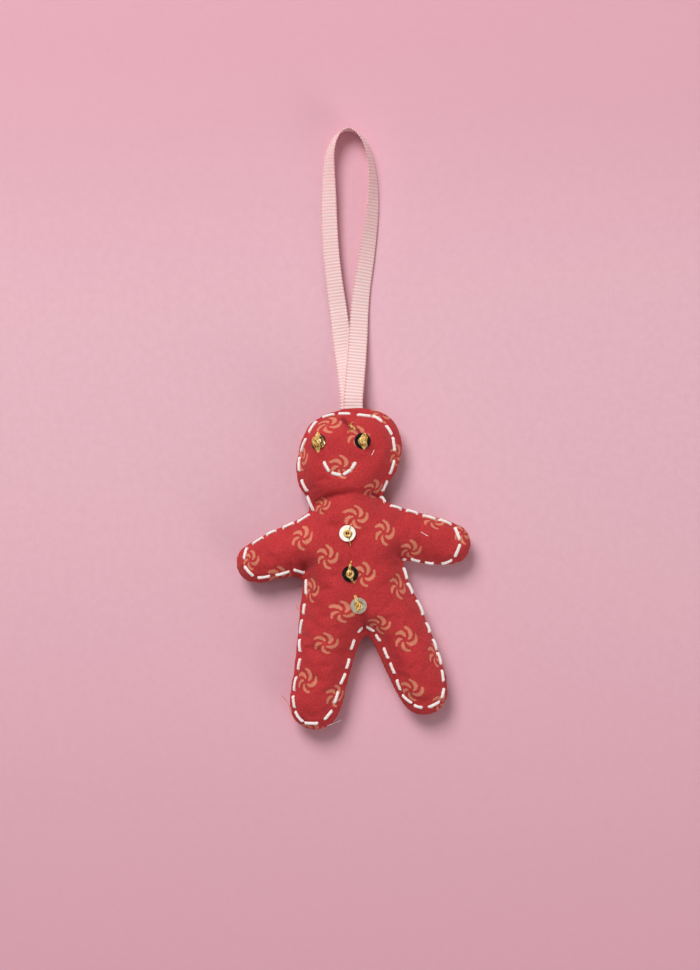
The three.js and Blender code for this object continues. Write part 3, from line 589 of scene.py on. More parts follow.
def nearLine(spots, line):
    best = np.full(len(spots), 1e9)
    for (ax, ay), (bx, by) in zip(line, line[1:]):
        ux, uy = bx - ax, by - ay
        t = ((spots[:, 0] - ax) * ux + (spots[:, 1] - ay) * uy) / max(ux * ux + uy * uy, 1e-18)
        t = np.clip(t, 0, 1)
        best = np.minimum(best, np.hypot(spots[:, 0] - ax - ux * t, spots[:, 1] - ay - uy * t))
    return best


# flat sheet of small squares trimmed to the outline
def flatSheet():
    pitch = cotton["pitch"] * mm
    low = Vector((min(p.x for p in rimCurve), min(p.y for p in rimCurve), 0))
    high = Vector((max(p.x for p in rimCurve), max(p.y for p in rimCurve), 0))
    columns = math.ceil((high.x - low.x) / pitch) + 2
    rows = math.ceil((high.y - low.y) / pitch) + 2
    bm = bmesh.new()
    bmesh.ops.create_grid(bm, x_segments=columns, y_segments=rows, size=0.5)
    middle = (low + high) / 2
    spanX = max(v.co.x for v in bm.verts) - min(v.co.x for v in bm.verts)
    spanY = max(v.co.y for v in bm.verts) - min(v.co.y for v in bm.verts)
    bmesh.ops.scale(bm, vec=(columns * pitch / spanX, rows * pitch / spanY, 1), verts=bm.verts)
    bmesh.ops.translate(bm, vec=middle, verts=bm.verts)
    outside = [v for v in bm.verts if depthInside(v.co.x, v.co.y)[0] < -0.3 * pitch]
    bmesh.ops.delete(bm, geom=outside, context="VERTS")
    stray = [v for v in bm.verts if not v.link_faces]
    bmesh.ops.delete(bm, geom=stray, context="VERTS")
    for turn in range(6):
        for v in bm.verts:
            if v.is_boundary:
                v.co = depthInside(v.co.x, v.co.y)[1]
        rimVerts = [v for v in bm.verts if v.is_boundary]
        bmesh.ops.remove_doubles(bm, verts=rimVerts, dist=0.12 * pitch)
        inner = [v for v in bm.verts if not v.is_boundary]
        bmesh.ops.smooth_vert(bm, verts=inner, factor=0.4, use_axis_x=True, use_axis_y=True)
    for v in bm.verts:
        v.co.z = 0
    return bm


def smoothValues(values, edges, rounds, fixed, factor=0.5):
    count = np.zeros(len(values))
    np.add.at(count, edges[:, 0], 1)
    np.add.at(count, edges[:, 1], 1)
    count = np.maximum(count, 1)
    if values.ndim > 1:
        count = count[:, None]
    for turn in range(rounds):
        total = np.zeros_like(values)
        np.add.at(total, edges[:, 0], values[edges[:, 1]])
        np.add.at(total, edges[:, 1], values[edges[:, 0]])
        fresh = values + (total / count - values) * factor
        fresh[fixed] = values[fixed]
        values = fresh
    return values


def panelHeights(node, spots, fromAbove):
    bm = bmesh.new()
    bm.from_mesh(cadNodes[node].data)
    tree = BVHTree.FromBMesh(bm)
    way = -1 if fromAbove else 1
    heights = []
    aside = cotton["holeReach"] * mm
    besides = [(aside, 0), (-aside, 0), (0, aside), (0, -aside)]

    def struck(x, y):
        hit = tree.ray_cast(Vector((x, y, seamZ - way * 0.03)), Vector((0, 0, way)))[0]
        return [abs(hit.z - seamZ)] if hit else []

    for x, y in spots:
        # over a needle hole the height is that of the cotton beside it
        found = struck(x, y) or [h for dx, dy in besides for h in struck(x + dx, y + dy)]
        heights.append(sum(found) / len(found) if found else 0.0)
    bm.free()
    return np.array(heights)


def stitchSpots(stitch, z):
    return [pixelAt(*stitch[:2], z)[:2], pixelAt(*stitch[2:], z)[:2]]


# smooth away the facets, then give back the height that smoothing took
def easeHeights(heights, edges, fixed):
    soft = smoothValues(heights, edges, cotton["smooth"], fixed)
    return soft + smoothValues(heights - soft, edges, cotton["smooth"], fixed)


def lensHeights(spots, depths, edges, fixed):
    front = panelHeights("front_panel", spots, True)
    back = panelHeights("back_panel", spots, False)

    def rounded(rise, run):
        inside = np.clip(1 - depths / (run * mm), 0, 1)
        return rise * mm * np.sqrt(np.maximum(0, 1 - inside ** 2))

    front = np.maximum(front, rounded(cotton["edgeRise"], cotton["edgeRun"]))
    back = np.maximum(back, rounded(cotton["backRise"], cotton["backRun"]))
    front[fixed], back[fixed] = 0, 0
    front, back = easeHeights(front, edges, fixed), easeHeights(back, edges, fixed)
    return front, np.minimum(back, seamZ - 0.3 * mm)


# one closed bag: a second sheet turned over and sewn to the first round the rim
def sewnBag(sheet, front, back, rim):
    bm = sheet.copy()
    other = bmesh.ops.duplicate(bm, geom=bm.verts[:] + bm.edges[:] + bm.faces[:])["geom"]
    faces = [part for part in other if isinstance(part, bmesh.types.BMFace)]
    bmesh.ops.reverse_faces(bm, faces=faces)
    for v, spot in zip(bm.verts, np.vstack([front, back])):
        v.co = Vector(spot) * cotton["simScale"]
    bm.verts.ensure_lookup_table()
    sewn = {bm.verts[len(front) + i]: bm.verts[i] for i in np.nonzero(rim)[0].tolist()}
    bmesh.ops.weld_verts(bm, targetmap=sewn)
    mesh = bpy.data.meshes.new("sewnBag")
    bm.to_mesh(mesh)
    bm.free()
    return mesh


def blowUp(mesh, held):
    bag = bpy.data.objects.new("sewnBag", mesh)
    scene.collection.objects.link(bag)
    group = bag.vertex_groups.new(name="sewn")
    group.add(np.nonzero(held)[0].tolist(), 1.0, "REPLACE")
    modifier = bag.modifiers.new("cloth", "CLOTH")
    for name, value in clothSettings.items():
        setattr(modifier.settings, name, value)
    modifier.settings.effector_weights.gravity = 0
    modifier.collision_settings.use_collision = False
    modifier.point_cache.frame_start = 1
    modifier.point_cache.frame_end = cotton["simFrames"]
    for number in range(1, cotton["simFrames"] + 1):
        scene.frame_set(number)
    ready = bag.evaluated_get(bpy.context.evaluated_depsgraph_get())
    swollen = np.array([v.co[:] for v in ready.data.vertices]) / cotton["simScale"]
    scene.frame_set(1)
    bpy.data.objects.remove(bag)
    bpy.data.meshes.remove(mesh)
    return swollen


def pulled(pull, gap, kind):
    deep, *spread = pulls[kind]
    return np.maximum(pull, deep * mm * bell(gap, *spread))


# pulled in along every stitch, on both sides
def stitchPulls(flat):
    front, back, ends = np.zeros(len(flat)), np.zeros(len(flat)), []
    for stitch in edgeStitches:
        ends.append(stitchSpots(stitch, seamZ + cotton["stitchZ"] * mm))
        front = pulled(front, nearLine(flat, ends[-1]), "stitch")
    for here, after in zip(ends, ends[1:] + ends[:1]):
        gap = nearLine(flat, [here[1], after[0]])
        back = pulled(back, gap, "back")
        front = pulled(front, gap, "between")
    for stitch in mouthStitches:
        front = pulled(front, nearLine(flat, stitchSpots(stitch, cotton["mouthZ"] * mm)), "mouth")
    for trim in trims.values():
        x, y = trim["seat"][:2]
        front = pulled(front, np.hypot(flat[:, 0] - x * mm, flat[:, 1] - y * mm), "seat")
    return front, back


# the fine part of how the simulated bag moves
def puckers(sheet, front, back, rim, held):
    bag = sewnBag(sheet, front, back, rim)
    edges = np.array([edge.vertices[:] for edge in bag.edges])
    moved = blowUp(bag, held) - np.vstack([front, back[~rim]])
    size = np.linalg.norm(moved, axis=1) * 1000
    print("sim moved", round(float(size.mean()), 2), "mm, most", round(float(size.max()), 2))
    fine = moved - smoothValues(moved, edges, cotton["puckerIron"], np.zeros(len(moved), bool))
    size = np.linalg.norm(fine, axis=1)
    return fine * np.minimum(1, cotton["puckerCap"] * mm / np.maximum(size, 1e-9))[:, None]


def pressCreases(front):
    for spots, deep, wide in creases:
        line = [pixelAt(px, py, cotton["creaseZ"] * mm)[:2] for px, py in spots]
        fall = deep * mm * bell(nearLine(front, line), wide)
        front[:, 2] -= np.minimum(fall, np.maximum(front[:, 2] - seamZ, 0) * 0.45)


# brings the cotton up flat under each sequin
def seatTrims(front):
    for name, trim in trims.items():
        seat, axis = seatAxis(trim)
        low = heightsAbove(name + "_sequin", seat, axis)[0]
        base = seat + axis * (low - cotton["seatGap"] * mm)
        gap = np.hypot(front[:, 0] - seat.x, front[:, 1] - seat.y)
        slope = axis.x * (front[:, 0] - base.x) + axis.y * (front[:, 1] - base.y)
        short = base.z - slope / axis.z - front[:, 2]
        print(name, "cotton brought up by", round(float(short[gap.argmin()] * 1000), 2), "mm")
        front[:, 2] += bell(gap, cotton["seatReach"], 4) * short


def cottonSheets():
    bm = flatSheet()
    bm.verts.index_update()
    bm.verts.ensure_lookup_table()
    flat = np.array([v.co[:] for v in bm.verts])
    edges = np.array([[v.index for v in e.verts] for e in bm.edges])
    rim = np.array([v.is_boundary for v in bm.verts])
    depths = np.array([max(0.0, depthInside(x, y)[0]) for x, y in flat[:, :2]])
    depths[rim] = 0
    up, down = lensHeights(flat[:, :2], depths, edges, rim)
    front, back = flat.copy(), flat.copy()
    frontPull, backPull = stitchPulls(flat)
    front[:, 2] = seamZ + up - np.minimum(frontPull, up * 0.5)
    back[:, 2] = seamZ - down + np.minimum(backPull, down * 0.5)
    frontHeld = rim | (frontPull > pins["front"] * mm)
    backHeld = backPull > pins["back"] * mm
    held = np.concatenate([frontHeld, backHeld[~rim]])
    fine = puckers(bm, front, back, rim, held)
    front += fine[:len(flat)] * (~rim)[:, None]
    back[~rim] += fine[len(flat):]
    pressCreases(front)
    seatTrims(front)
    back[:, 2] = np.maximum(back[:, 2], cotton["tableGap"] * mm)
    print("cotton", len(flat), "points a side")
    return bm, front, back


# ink whirls on a slanted lattice: commas round each point, in mm of the flat cloth
def whirlInk(tree, across, along, slub):
    plus, minus, times, over = arithmetic(tree)
    (ax, ay), (bx, by), (originX, originY) = whirl["stepA"], whirl["stepB"], whirl["origin"]
    area = ax * by - ay * bx
    x, y = minus(across, originX), minus(along, originY)
    i = calc(tree, "ROUND", plus(times(x, by / area), times(y, -bx / area)))
    j = calc(tree, "ROUND", plus(times(x, -ay / area), times(y, ax / area)))
    x = minus(x, plus(times(i, ax), times(j, bx)))
    y = minus(y, plus(times(i, ay), times(j, by)))
    radius = calc(tree, "SQRT", plus(times(x, x), times(y, y)))
    angle = calc(tree, "ARCTAN2", y, x)
    # drawn by hand: the upper right commas are the plumpest
    plump = plus(times(calc(tree, "COSINE", minus(angle, whirl["plumpAt"])), whirl["plump"]), 1.0)
    bend = calc(tree, "POWER", over(radius, whirl["curlAt"]), 2.0)
    curl = times(bend, math.radians(whirl["curl"]))
    angle = minus(angle, plus(curl, math.radians(whirl["turn"])))
    share = math.tau / whirl["commas"]
    angle = minus(calc(tree, "FLOORED_MODULO", plus(angle, share / 2), share), share / 2)
    offset = times(radius, calc(tree, "SINE", angle))
    slope = times(curl, 2.0)
    steep = plus(times(slope, slope), 1.0)
    side = over(calc(tree, "ABSOLUTE", offset), calc(tree, "SQRT", steep))
    # both ends of a comma are cut square to its stroke
    reach = plus(radius, over(times(offset, slope), steep))
    t = over(minus(over(reach, plump), whirl["start"]), whirl["length"])
    swell = times(ramp(tree, t, 0.0, 0.5, 0.36, 0.6), ramp(tree, t, 0.6, 1.0, 1.0, 0.72))
    ends = times(ramp(tree, t, -0.08, 0.02), ramp(tree, t, 0.98, 1.05, 1.0, 0.0))
    swell = times(times(swell, ends), plump)
    edge = plus(minus(swell, side), times(minus(slub, 0.5), whirl["wander"]))
    ink = times(ramp(tree, edge, 0.0, 0.16), ramp(tree, slub, 0.3, 0.62, 0.98, 0.78))
    return times(ink, pointValue(tree, "inked"))


def printedCottonMaterial():
    material, tree, shader = newMaterial("printedCotton")
    across, along = uvCoords(tree, "clothUv")
    coords = objectCoords(tree)
    # warp and weft, with slubs
    threads = math.tau / cotton["threadPitch"]
    warp = calc(tree, "SINE", calc(tree, "MULTIPLY", across, threads))
    weft = calc(tree, "SINE", calc(tree, "MULTIPLY", along, threads))
    weave = calc(tree, "MULTIPLY", warp, weft)
    slub = speckle(tree, coords, 1900.0, 4.0)
    cloudy = speckle(tree, coords, 110.0, 2.0)
    ground = mixColor(tree, ramp(tree, cloudy, 0.25, 0.75, 0.7, 1.0), cotton["deep"], cotton["red"])
    fleck = calc(tree, "ADD", slub, calc(tree, "MULTIPLY", weave, 0.12))
    ground = mixColor(tree, ramp(tree, fleck, 0.4, 0.66, 0.0, 0.6), ground, cotton["deep"])
    dyed = mixColor(tree, whirlInk(tree, across, along, slub), ground, cotton["tan"])
    # painted shade: the cotton turns towards the dark fold colour along the fold lines
    shaded = mixColor(tree, pointValue(tree, "fold"), dyed, cotton["fold"])
    tree.links.new(shaded, shader.inputs["Base Color"])
    tree.links.new(ramp(tree, slub, 0.2, 0.8, 0.72, 0.9), shader.inputs["Roughness"])
    setSockets(shader, {"Sheen Weight": 0.12, "Sheen Roughness": 0.45, "Specular IOR Level": 0.25})
    lift = calc(tree, "ADD", calc(tree, "MULTIPLY", weave, 0.5), calc(tree, "MULTIPLY", slub, 1.2))
    addBump(tree, shader, lift, 0.00006, 0.8)
    return material


cottonMaterial = printedCottonMaterial()
clothSheet, frontCloth, backCloth = cottonSheets()


# one panel with its turned hem, opened a little where the ribbon goes in
def makePanel(name, points, sign):
    bm = clothSheet.copy()
    layer = bm.loops.layers.uv.new("clothUv")
    for face in bm.faces:
        for loop in face.loops:
            loop[layer].uv = loop.vert.co.xy / mm
    for v, point in zip(bm.verts, points):
        v.co = point
    if sign < 0:
        bmesh.ops.reverse_faces(bm, faces=bm.faces)
    for v in bm.verts:
        if v.is_boundary:
            v.co.z = seamZ + sign * cotton["rimGap"] * mm
    hemEdges = [e for e in bm.edges if e.is_boundary]
    for inward in cotton["hemSteps"]:
        grown = bmesh.ops.extrude_edge_only(bm, edges=hemEdges)["geom"]
        for v in grown:
            if isinstance(v, bmesh.types.BMVert):
                index = depthInside(v.co.x, v.co.y)[2]
                v.co -= rimOut[index] * cotton["hem"] * mm * inward * cotton["hemDraw"]
                v.co.z = seamZ + sign * cotton["hemGap"] * mm
        hemEdges = [e for e in grown if isinstance(e, bmesh.types.BMEdge) and e.is_boundary]
    crownY = max(p.y for p in rimCurve)
    for v in bm.verts:
        if v.co.y > crownY - cotton["gapeReach"] * mm:
            x = v.co.x / mm
            side = max(cotton["ribbonLow"] - x, x - cotton["ribbonHigh"], 0)
            gape = math.exp(-(side / cotton["gapeFade"]) ** 2) * cotton["ribbonLift"] * mm
            room = sign * (v.co.z - seamZ)
            if room < gape + cotton["gapeRoom"] * mm:
                room = max(room, 0) * cotton["gapeShare"] + gape + cotton["rimGap"] * mm
                v.co.z = seamZ + sign * room
    piece = makeObject(name, bm, cottonMaterial)
    # the panels face out: up on the front, down on the back
    wall = piece.modifiers.new("clothThickness", "SOLIDIFY")
    wall.thickness = cotton["cloth"] * mm
    wall.offset = -1
    soft = piece.modifiers.new("softCloth", "SUBSURF")
    soft.levels = soft.render_levels = 1
    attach(piece, "doll")
    return piece


frontPanel = makePanel("frontCotton", frontCloth, 1)
backPanel = makePanel("backCotton", backCloth, -1)
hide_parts("front_panel")
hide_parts("back_panel")


def surfaceTree(piece):
    bm = bmesh.new()
    bm.from_mesh(piece.data)
    tree = BVHTree.FromBMesh(bm)
    bm.free()
    return tree


frontTree = surfaceTree(frontPanel)
backTree = surfaceTree(backPanel)


# where a ray meets the cotton, or else the point nearest to a spare one, facing up (1) or down (-1)
def meetCotton(tree, start, ray, spare, facing):
    hit, normal = tree.ray_cast(start, ray)[:2]
    if hit is None:
        hit, normal = tree.find_nearest(spare)[:2]
    return hit, -normal if normal.z * facing < 0 else normal


def onFront(px, py, lift=0.0):
    spare = pixelAt(px, py, seamZ + 2 * mm)
    hit, normal = meetCotton(frontTree, eye, pixelRay(px, py), spare, 1)
    return hit + normal * lift, normal


# where the whirls show on the stuffed front, in pixels, with their width and height
# against the plain whirl: the cloth is drawn askew to bring them there
whirlSpots = [
    (328, 425, 1.22, 0.97), (381, 414.5, 1, 0.9), (357, 437, 1, 1), (301.5, 460, 0.9, 1.05),
    (396.5, 456, 0.9, 1), (341, 467.5, 1.05, 1), (372.5, 490, 1.05, 0.95), (322, 506.5, 0.9, 0.8),
    (356, 517.5, 1.08, 1.04), (384, 533, 0.9, 1.15), (301.3, 538.3, 0.96, 1.18),
    (326.3, 558, 0.97, 1.02), (250, 560.5, 0.78, 0.9), (433, 521.5, 1, 1), (463, 533, 0.9, 1.1),
    (410, 551, 0.92, 1), (363.5, 575.5, 0.95, 1.05), (311.5, 591, 0.9, 1.05),
    (398, 587.5, 0.96, 1.1), (341.6, 613, 1.2, 0.95), (379, 625.5, 1.1, 0.88), (325, 644, 1.2, 0.9),
    (405, 640, 1.1, 1.1), (305.8, 681.5, 1, 1.05), (435, 656, 0.95, 1.05), (335, 697, 1, 1),
    (410.5, 691, 1.05, 1), (440, 703, 1, 1), (279, 577.5, 1, 1), (312, 730, 1, 1)]


def paintPoints(mesh, name, values):
    layer = mesh.attributes.new(name, "FLOAT", "POINT")
    layer.data.foreach_set("value", [float(value) for value in values])


# painted shade along each fold line, strongest on the line and fading over its half width
def paintFoldShade():
    mesh = frontPanel.data
    spread = np.array([v.co[:2] for v in mesh.vertices])
    shade = np.zeros(len(spread))
    for spots, dark, wide in paintedFoldLines:
        line = [onFront(px, py)[0][:2] for px, py in spots]
        shade = np.maximum(shade, dark * bell(nearLine(spread, line), wide))
    paintPoints(mesh, "fold", shade)


# the lattice cell of a place in mm of the flat cloth, before rounding
def whirlCell(x, y):
    (ax, ay), (bx, by), (originX, originY) = whirl["stepA"], whirl["stepB"], whirl["origin"]
    area, x, y = ax * by - ay * bx, x - originX, y - originY
    return (x * by - y * bx) / area, (y * ax - x * ay) / area


def skewPrint():
    (ax, ay), (bx, by), (originX, originY) = whirl["stepA"], whirl["stepB"], whirl["origin"]
    mesh = frontPanel.data
    spread = np.array([v.co[:2] for v in mesh.vertices]) / mm
    facing = np.array([v.normal[:] for v in mesh.vertices])
    edges = np.array([e.vertices[:] for e in mesh.edges])
    facing = smoothValues(facing, edges, whirl["iron"], np.zeros(len(facing), bool))
    slope = facing[:, :2] / np.maximum(np.abs(facing[:, 2:]), whirl["leastFacing"])
    steep = np.linalg.norm(slope, axis=1)
    downhill = slope / np.maximum(steep, 1e-6)[:, None]
    extra = np.sqrt(1 + steep ** 2) - 1
    weight, shown = np.full(len(spread), whirl["leastWeight"]), set()
    total, nearest = spread * whirl["leastWeight"], np.full(len(spread), 1e9)
    for px, py, wide, tall in whirlSpots:
        hit = frontTree.ray_cast(eye, pixelRay(px, py))[0] or pixelAt(px, py, seamZ)
        i, j = (round(part) for part in whirlCell(hit.x / mm, hit.y / mm))
        away, stretch = spread - np.array(hit[:2]) / mm, np.array((wide, tall))
        gap = np.sum(away ** 2, axis=1)
        k = gap.argmin()
        own = downhill * (extra * np.sum(downhill * away, axis=1))[:, None]
        centre = downhill[k] * (extra[k] * (away @ downhill[k]))[:, None]
        near = np.exp(-gap / (2 * whirl["drawReach"] ** 2))
        target = np.array((originX + i * ax + j * bx, originY + i * ay + j * by))
        shown.add((i, j))
        total += near[:, None] * (target + (away + (own + centre) / 2) / stretch)
        weight += near
        nearest = np.minimum(nearest, np.sum((away / stretch) ** 2, axis=1))
    laid = total / weight[:, None]
    for loop, spot in zip(mesh.loops, mesh.uv_layers["clothUv"].data):
        spot.uv = laid[loop.vertex_index]
    # only the whirls that show are inked on the front
    cells = zip(*(np.round(part).astype(int) for part in whirlCell(laid[:, 0], laid[:, 1])))
    inReach = nearest < whirl["inkReach"] ** 2
    paintPoints(mesh, "inked", [cell in shown and close for cell, close in zip(cells, inReach)])
    print("print laid with", len(shown), "whirls of", len(whirlSpots))


skewPrint()
paintFoldShade()
paintPoints(backPanel.data, "inked", [1.0] * len(backPanel.data.vertices))


# white stranded floss
floss = {"half": 0.5, "mouthHalf": 0.54, "plies": 3, "turn": 3.2, "bulge": 0.06, "flat": 0.9,
         "across": (0, 0, 1), "around": 12, "lift": 0.22, "mouthLift": 0.27, "drawIn": 1.1,
         "backMargin": 2.2, "backLift": 0.15, "backBow": 0.35, "bowIn": 1.3, "dip": 1.1,
         "sink": 0.1, "arch": 0.12,
         "white": tint(255, 250, 246), "shade": tint(240, 226, 220)}
whiteFloss = speckledMaterial("whiteFloss", 3200.0, 4.0, (0.25, 0.65), floss["shade"],
                              floss["white"], {"Sheen Weight": 0.3}, rough=(0.2, 0.8, 0.5, 0.75),
                              bump=0.00008)


def underBack(spot, lift):
    depth, near, index = depthInside(spot.x, spot.y)
    spot = spot - rimOut[index] * max(0, floss["backMargin"] * mm - depth)
    below, spare = Vector((spot.x, spot.y, -0.02)), Vector((spot.x, spot.y, 0.003))
    hit, normal = meetCotton(backTree, below, Vector((0, 0, 1)), spare, -1)
    return hit + normal * lift * mm


# a stitch lies straight from hole to hole, lifted clear of the cotton between them
def frontRun(stitch, lift, steps=6):
    ax, ay, bx, by = stitch
    draw = floss["drawIn"] / math.hypot(bx - ax, by - ay)
    ax, ay, bx, by = (ax + (bx - ax) * draw, ay + (by - ay) * draw,
                      bx + (ax - bx) * draw, by + (ay - by) * draw)
    shares = [k / steps for k in range(steps + 1)]
    ground = [onFront(ax + (bx - ax) * share, ay + (by - ay) * share) for share in shares]
    first, last = ground[0][0], ground[-1][0]
    normal = sum((n for point, n in ground), Vector()).normalized()
    line = [first.lerp(last, share) for share in shares]
    proud = max((ground[k][0] - line[k]).dot(normal) for k in range(1, steps))
    points = []
    for share, point in zip(shares, line):
        bow = 1 - abs(2 * share - 1) ** 2.5
        rise = (lift - floss["sink"] + floss["arch"] * bow) * mm
        points.append(point + normal * (rise + max(proud, 0) * bow))
    return points


# between the panels the floss keeps clear of the cotton's side
def inside(start, end):
    points = []
    for share in (0.25, 0.5, 0.75):
        point = start.lerp(end, share)
        points.append(point - rimOut[depthInside(point.x, point.y)[2]] * floss["bowIn"] * mm)
    return points


def sewFloss(name, knots, steps, half):
    bm = bmesh.new()
    addThread(bm, smoothPath(knots, steps), half, floss)
    return makeObject(name, bm, whiteFloss)


def makeEdgeStitching():
    knots = []
    runs = [frontRun(stitch, floss["lift"]) for stitch in edgeStitches]
    for here, after in zip(runs, runs[1:] + runs[:1]):
        down, rise = here[-1], after[0]
        first, last = underBack(down, floss["backLift"]), underBack(rise, floss["backLift"])
        middle = underBack((down + rise) / 2, floss["backBow"])
        knots += here + inside(down, first) + [first, middle, last] + inside(last, rise)
    piece = sewFloss("edgeStitching", knots, 3, floss["half"])
    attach(piece, "doll")
    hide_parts("edge_stitching")
    print("edge stitching", len(edgeStitches), "stitches")


def makeMouth():
    knots = []
    for stitch in mouthStitches:
        dips = [onFront(*end, -floss["dip"] * mm)[0] for end in (stitch[:2], stitch[2:])]
        knots += [dips[0]] + frontRun(stitch, floss["mouthLift"]) + [dips[1]]
    piece = sewFloss("mouthStitching", knots, 4, floss["mouthHalf"])
    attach(piece, "doll")
    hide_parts("mouth_stitching")
    print("mouth", len(mouthStitches), "stitches")


makeEdgeStitching()
makeMouth()


# foil sequins, gold beads and the gold stitches that hold them
sequin = {"hole": 0.7, "half": 2.5, "film": 0.14, "segments": 48, "rows": 9, "cupCurve": 1.6,
          "silver": tint(216, 209, 198), "dull": tint(190, 182, 170)}
# the bead's gold and deep, and the thread's light and dark, are the two tones of painted glints
bead = {"hole": 0.5, "half": 1.25, "segments": 32, "sides": 20, "square": 0.85,
        "gold": tint(255, 228, 150), "deep": tint(228, 168, 72)}
goldThread = {"half": 0.15, "single": 0.115, "plies": 2, "turn": 0.9, "bulge": 0.16, "flat": 1.0,
              "across": (0.3, 0.2, 1), "around": 7, "grain": 2600, "bury": 0.9, "foot": 0.55,
              "hug": 0.12, "drift": 0.15, "wobble": 0.14, "leastRise": 0.16, "mostRise": 0.34,
              "light": tint(255, 234, 150), "dark": tint(216, 152, 52)}

mirrorFoil = speckledMaterial("mirrorFoil", 900.0, 3.0, (0.3, 0.7), sequin["dull"],
                              sequin["silver"], {"Metallic": 1.0}, rough=(0.35, 0.8, 0.05, 0.16))
# painted glints: the beads and the gold thread are mottled in sharp light and dark specks that stand in
# for the glints of crinkled metal
goldBead = speckledMaterial("goldBead", 1100.0, 3.0, (0.4, 0.58), bead["deep"], bead["gold"],
                            {"Metallic": 0.3}, rough=(0.2, 0.8, 0.16, 0.36), bump=0.00006)
goldFloss = speckledMaterial("goldThread", 1100.0, 3.0, (0.4, 0.58), goldThread["dark"],
                             goldThread["light"], {"Metallic": 0.15}, rough=(0.2, 0.8, 0.18, 0.38),
                             bump=0.00006)


def spunRing(profile, segments):
    bm = bmesh.new()
    verts = [bm.verts.new((r, 0, z)) for r, z in profile]
    edges = [bm.edges.new((a, b)) for a, b in zip(verts, verts[1:] + verts[:1])]
    bmesh.ops.spin(bm, geom=verts + edges, cent=(0, 0, 0), axis=(0, 0, 1), angle=math.tau,
                   steps=segments, use_merge=True)
    bmesh.ops.remove_doubles(bm, verts=bm.verts, dist=1e-7)
    return bm


def seated(bm, trim, lift):
    seat, axis = seatAxis(trim)
    across = Vector((0, 1, 0)).cross(axis).normalized()
    place = Matrix((across, axis.cross(across), axis)).transposed().to_4x4()
    place.translation = seat + axis * lift
    bmesh.ops.transform(bm, matrix=place, verts=bm.verts)


def makeSequin(name, trim):
    low, high = heightsAbove(name + "_sequin", *seatAxis(trim))
    film, half, hole = sequin["film"] * mm, sequin["half"] * mm, sequin["hole"] * mm
    cup = (high - low - film) * trim["cup"]
    shares = [k / sequin["rows"] for k in range(sequin["rows"] + 1)]
    top = [(hole + (half - hole) * share, film + cup * share ** sequin["cupCurve"])
           for share in shares]
    under = [(r, z - film) for r, z in reversed(top)]
    bm = spunRing(top + under, sequin["segments"])
    leaning = dict(trim, axis=Vector(trim["axis"]) + Vector(trim.get("lean", (0, 0, 0))))
    seated(bm, leaning, low)
    bm.normal_update()
    for edge in bm.edges:
        edge.smooth = edge.calc_face_angle(0) < math.radians(40)
    piece = makeObject(pieceName(name, "Sequin"), bm, mirrorFoil)
    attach(piece, name + "_disc")
    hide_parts(name + "_sequin")


def makeBead(name, trim):
    low, high = heightsAbove(name + "_bead", *seatAxis(trim))
    middle, tall = (low + high) / 2, (high - low) / 2
    hole, half = bead["hole"] * mm, bead["half"] * mm
    ringMid, ringHalf = (hole + half) / 2, (half - hole) / 2
    profile = []
    for k in range(bead["sides"]):
        angle = math.tau * k / bead["sides"]
        ring = math.cos(angle), math.sin(angle)
        a, b = (math.copysign(abs(part) ** bead["square"], part) for part in ring)
        profile.append((ringMid + ringHalf * a, tall * b))
    bm = spunRing(profile, bead["segments"])
    seated(bm, trim, middle)
    piece = makeObject(pieceName(name, "Bead"), bm, goldBead)
    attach(piece, "doll")
    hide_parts(name + "_bead")
    return low, high


def addGold(bm, knots, crinkle=0.05, half=goldThread["single"]):
    path = smoothPath(knots, 10)
    for i, point in enumerate(path[2:-2]):
        path[i + 2] = point + noise.noise_vector(point * goldThread["grain"]) * crinkle * mm
    addThread(bm, path, half, goldThread)


def makeGoldStitch(name, trim, beadLow, beadHigh):
    seat, axis = seatAxis(trim)
    bm = bmesh.new()
    draw = random.Random(name)
    drift, shake = goldThread["drift"], goldThread["wobble"]
    foot, hug = goldThread["foot"] * mm, goldThread["hug"] * mm
    outer, lip = bead["half"] * mm, bead["hole"] * mm
    middle, tall = (beadLow + beadHigh) / 2, (beadHigh - beadLow) / 2
    halves = []
    for end in (trim["stitch"][:2], trim["stitch"][2:]):
        ground, normal = onFront(*end, 0.1 * mm)
        way = ground - seat
        halves.append((ground, normal, (way - axis * way.dot(axis)).normalized()))
    beside = axis.cross(halves[0][2])

    # from the cotton up one side of the bead, as far as its crown or its hole
    def climb(ground, normal, way, lane, rise):
        sway = beside * lane * mm
        shrug = math.sqrt(max(0.1, 1 - (lane * mm / outer) ** 2))
        girth = outer * shrug
        start = ground + beside * (lane * 0.25 + draw.uniform(-drift, drift)) * mm
        wobble = [beside * draw.uniform(-shake, shake) * mm for k in range(3)]
        return [start - normal * goldThread["bury"] * mm, start,
                seat + way * (girth + foot) + sway * 1.05 + wobble[0] + axis * (beadLow + 0.25 * mm),
                seat + way * (girth + hug) + sway + wobble[1] + axis * (middle + tall * 0.35),
                seat + way * (girth * 0.66) + sway + wobble[2]
                + axis * (middle + tall * shrug + rise)]

    # whole passes over the bead
    for lane in trim["passes"]:
        rise = draw.uniform(goldThread["leastRise"], goldThread["mostRise"]) * mm
        crown = seat + beside * lane * 0.9 * mm + axis * (beadHigh + rise + 0.05 * mm)
        addGold(bm, climb(*halves[0], lane, rise) + [crown] + climb(*halves[1], lane, rise)[::-1],
                trim["crinkle"], goldThread["half"])
    # from each side down into the hole
    for ground, normal, way in halves:
        for lane in trim["drops"]:
            sway = beside * lane * mm
            addGold(bm, climb(ground, normal, way, lane, 0.2 * mm) + [
                seat + way * lip * 0.95 + sway * 0.6 + axis * (beadHigh + 0.16 * mm),
                seat + way * lip * 0.35 + sway * 0.4 + axis * (beadHigh - 0.4 * mm),
                seat + way * lip * 0.3 + sway * 0.3 + axis * (beadLow + 0.2 * mm)], trim["crinkle"])
    piece = makeObject(pieceName(name, "Thread"), bm, goldFloss)
    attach(piece, "doll")
    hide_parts(name + "_thread")


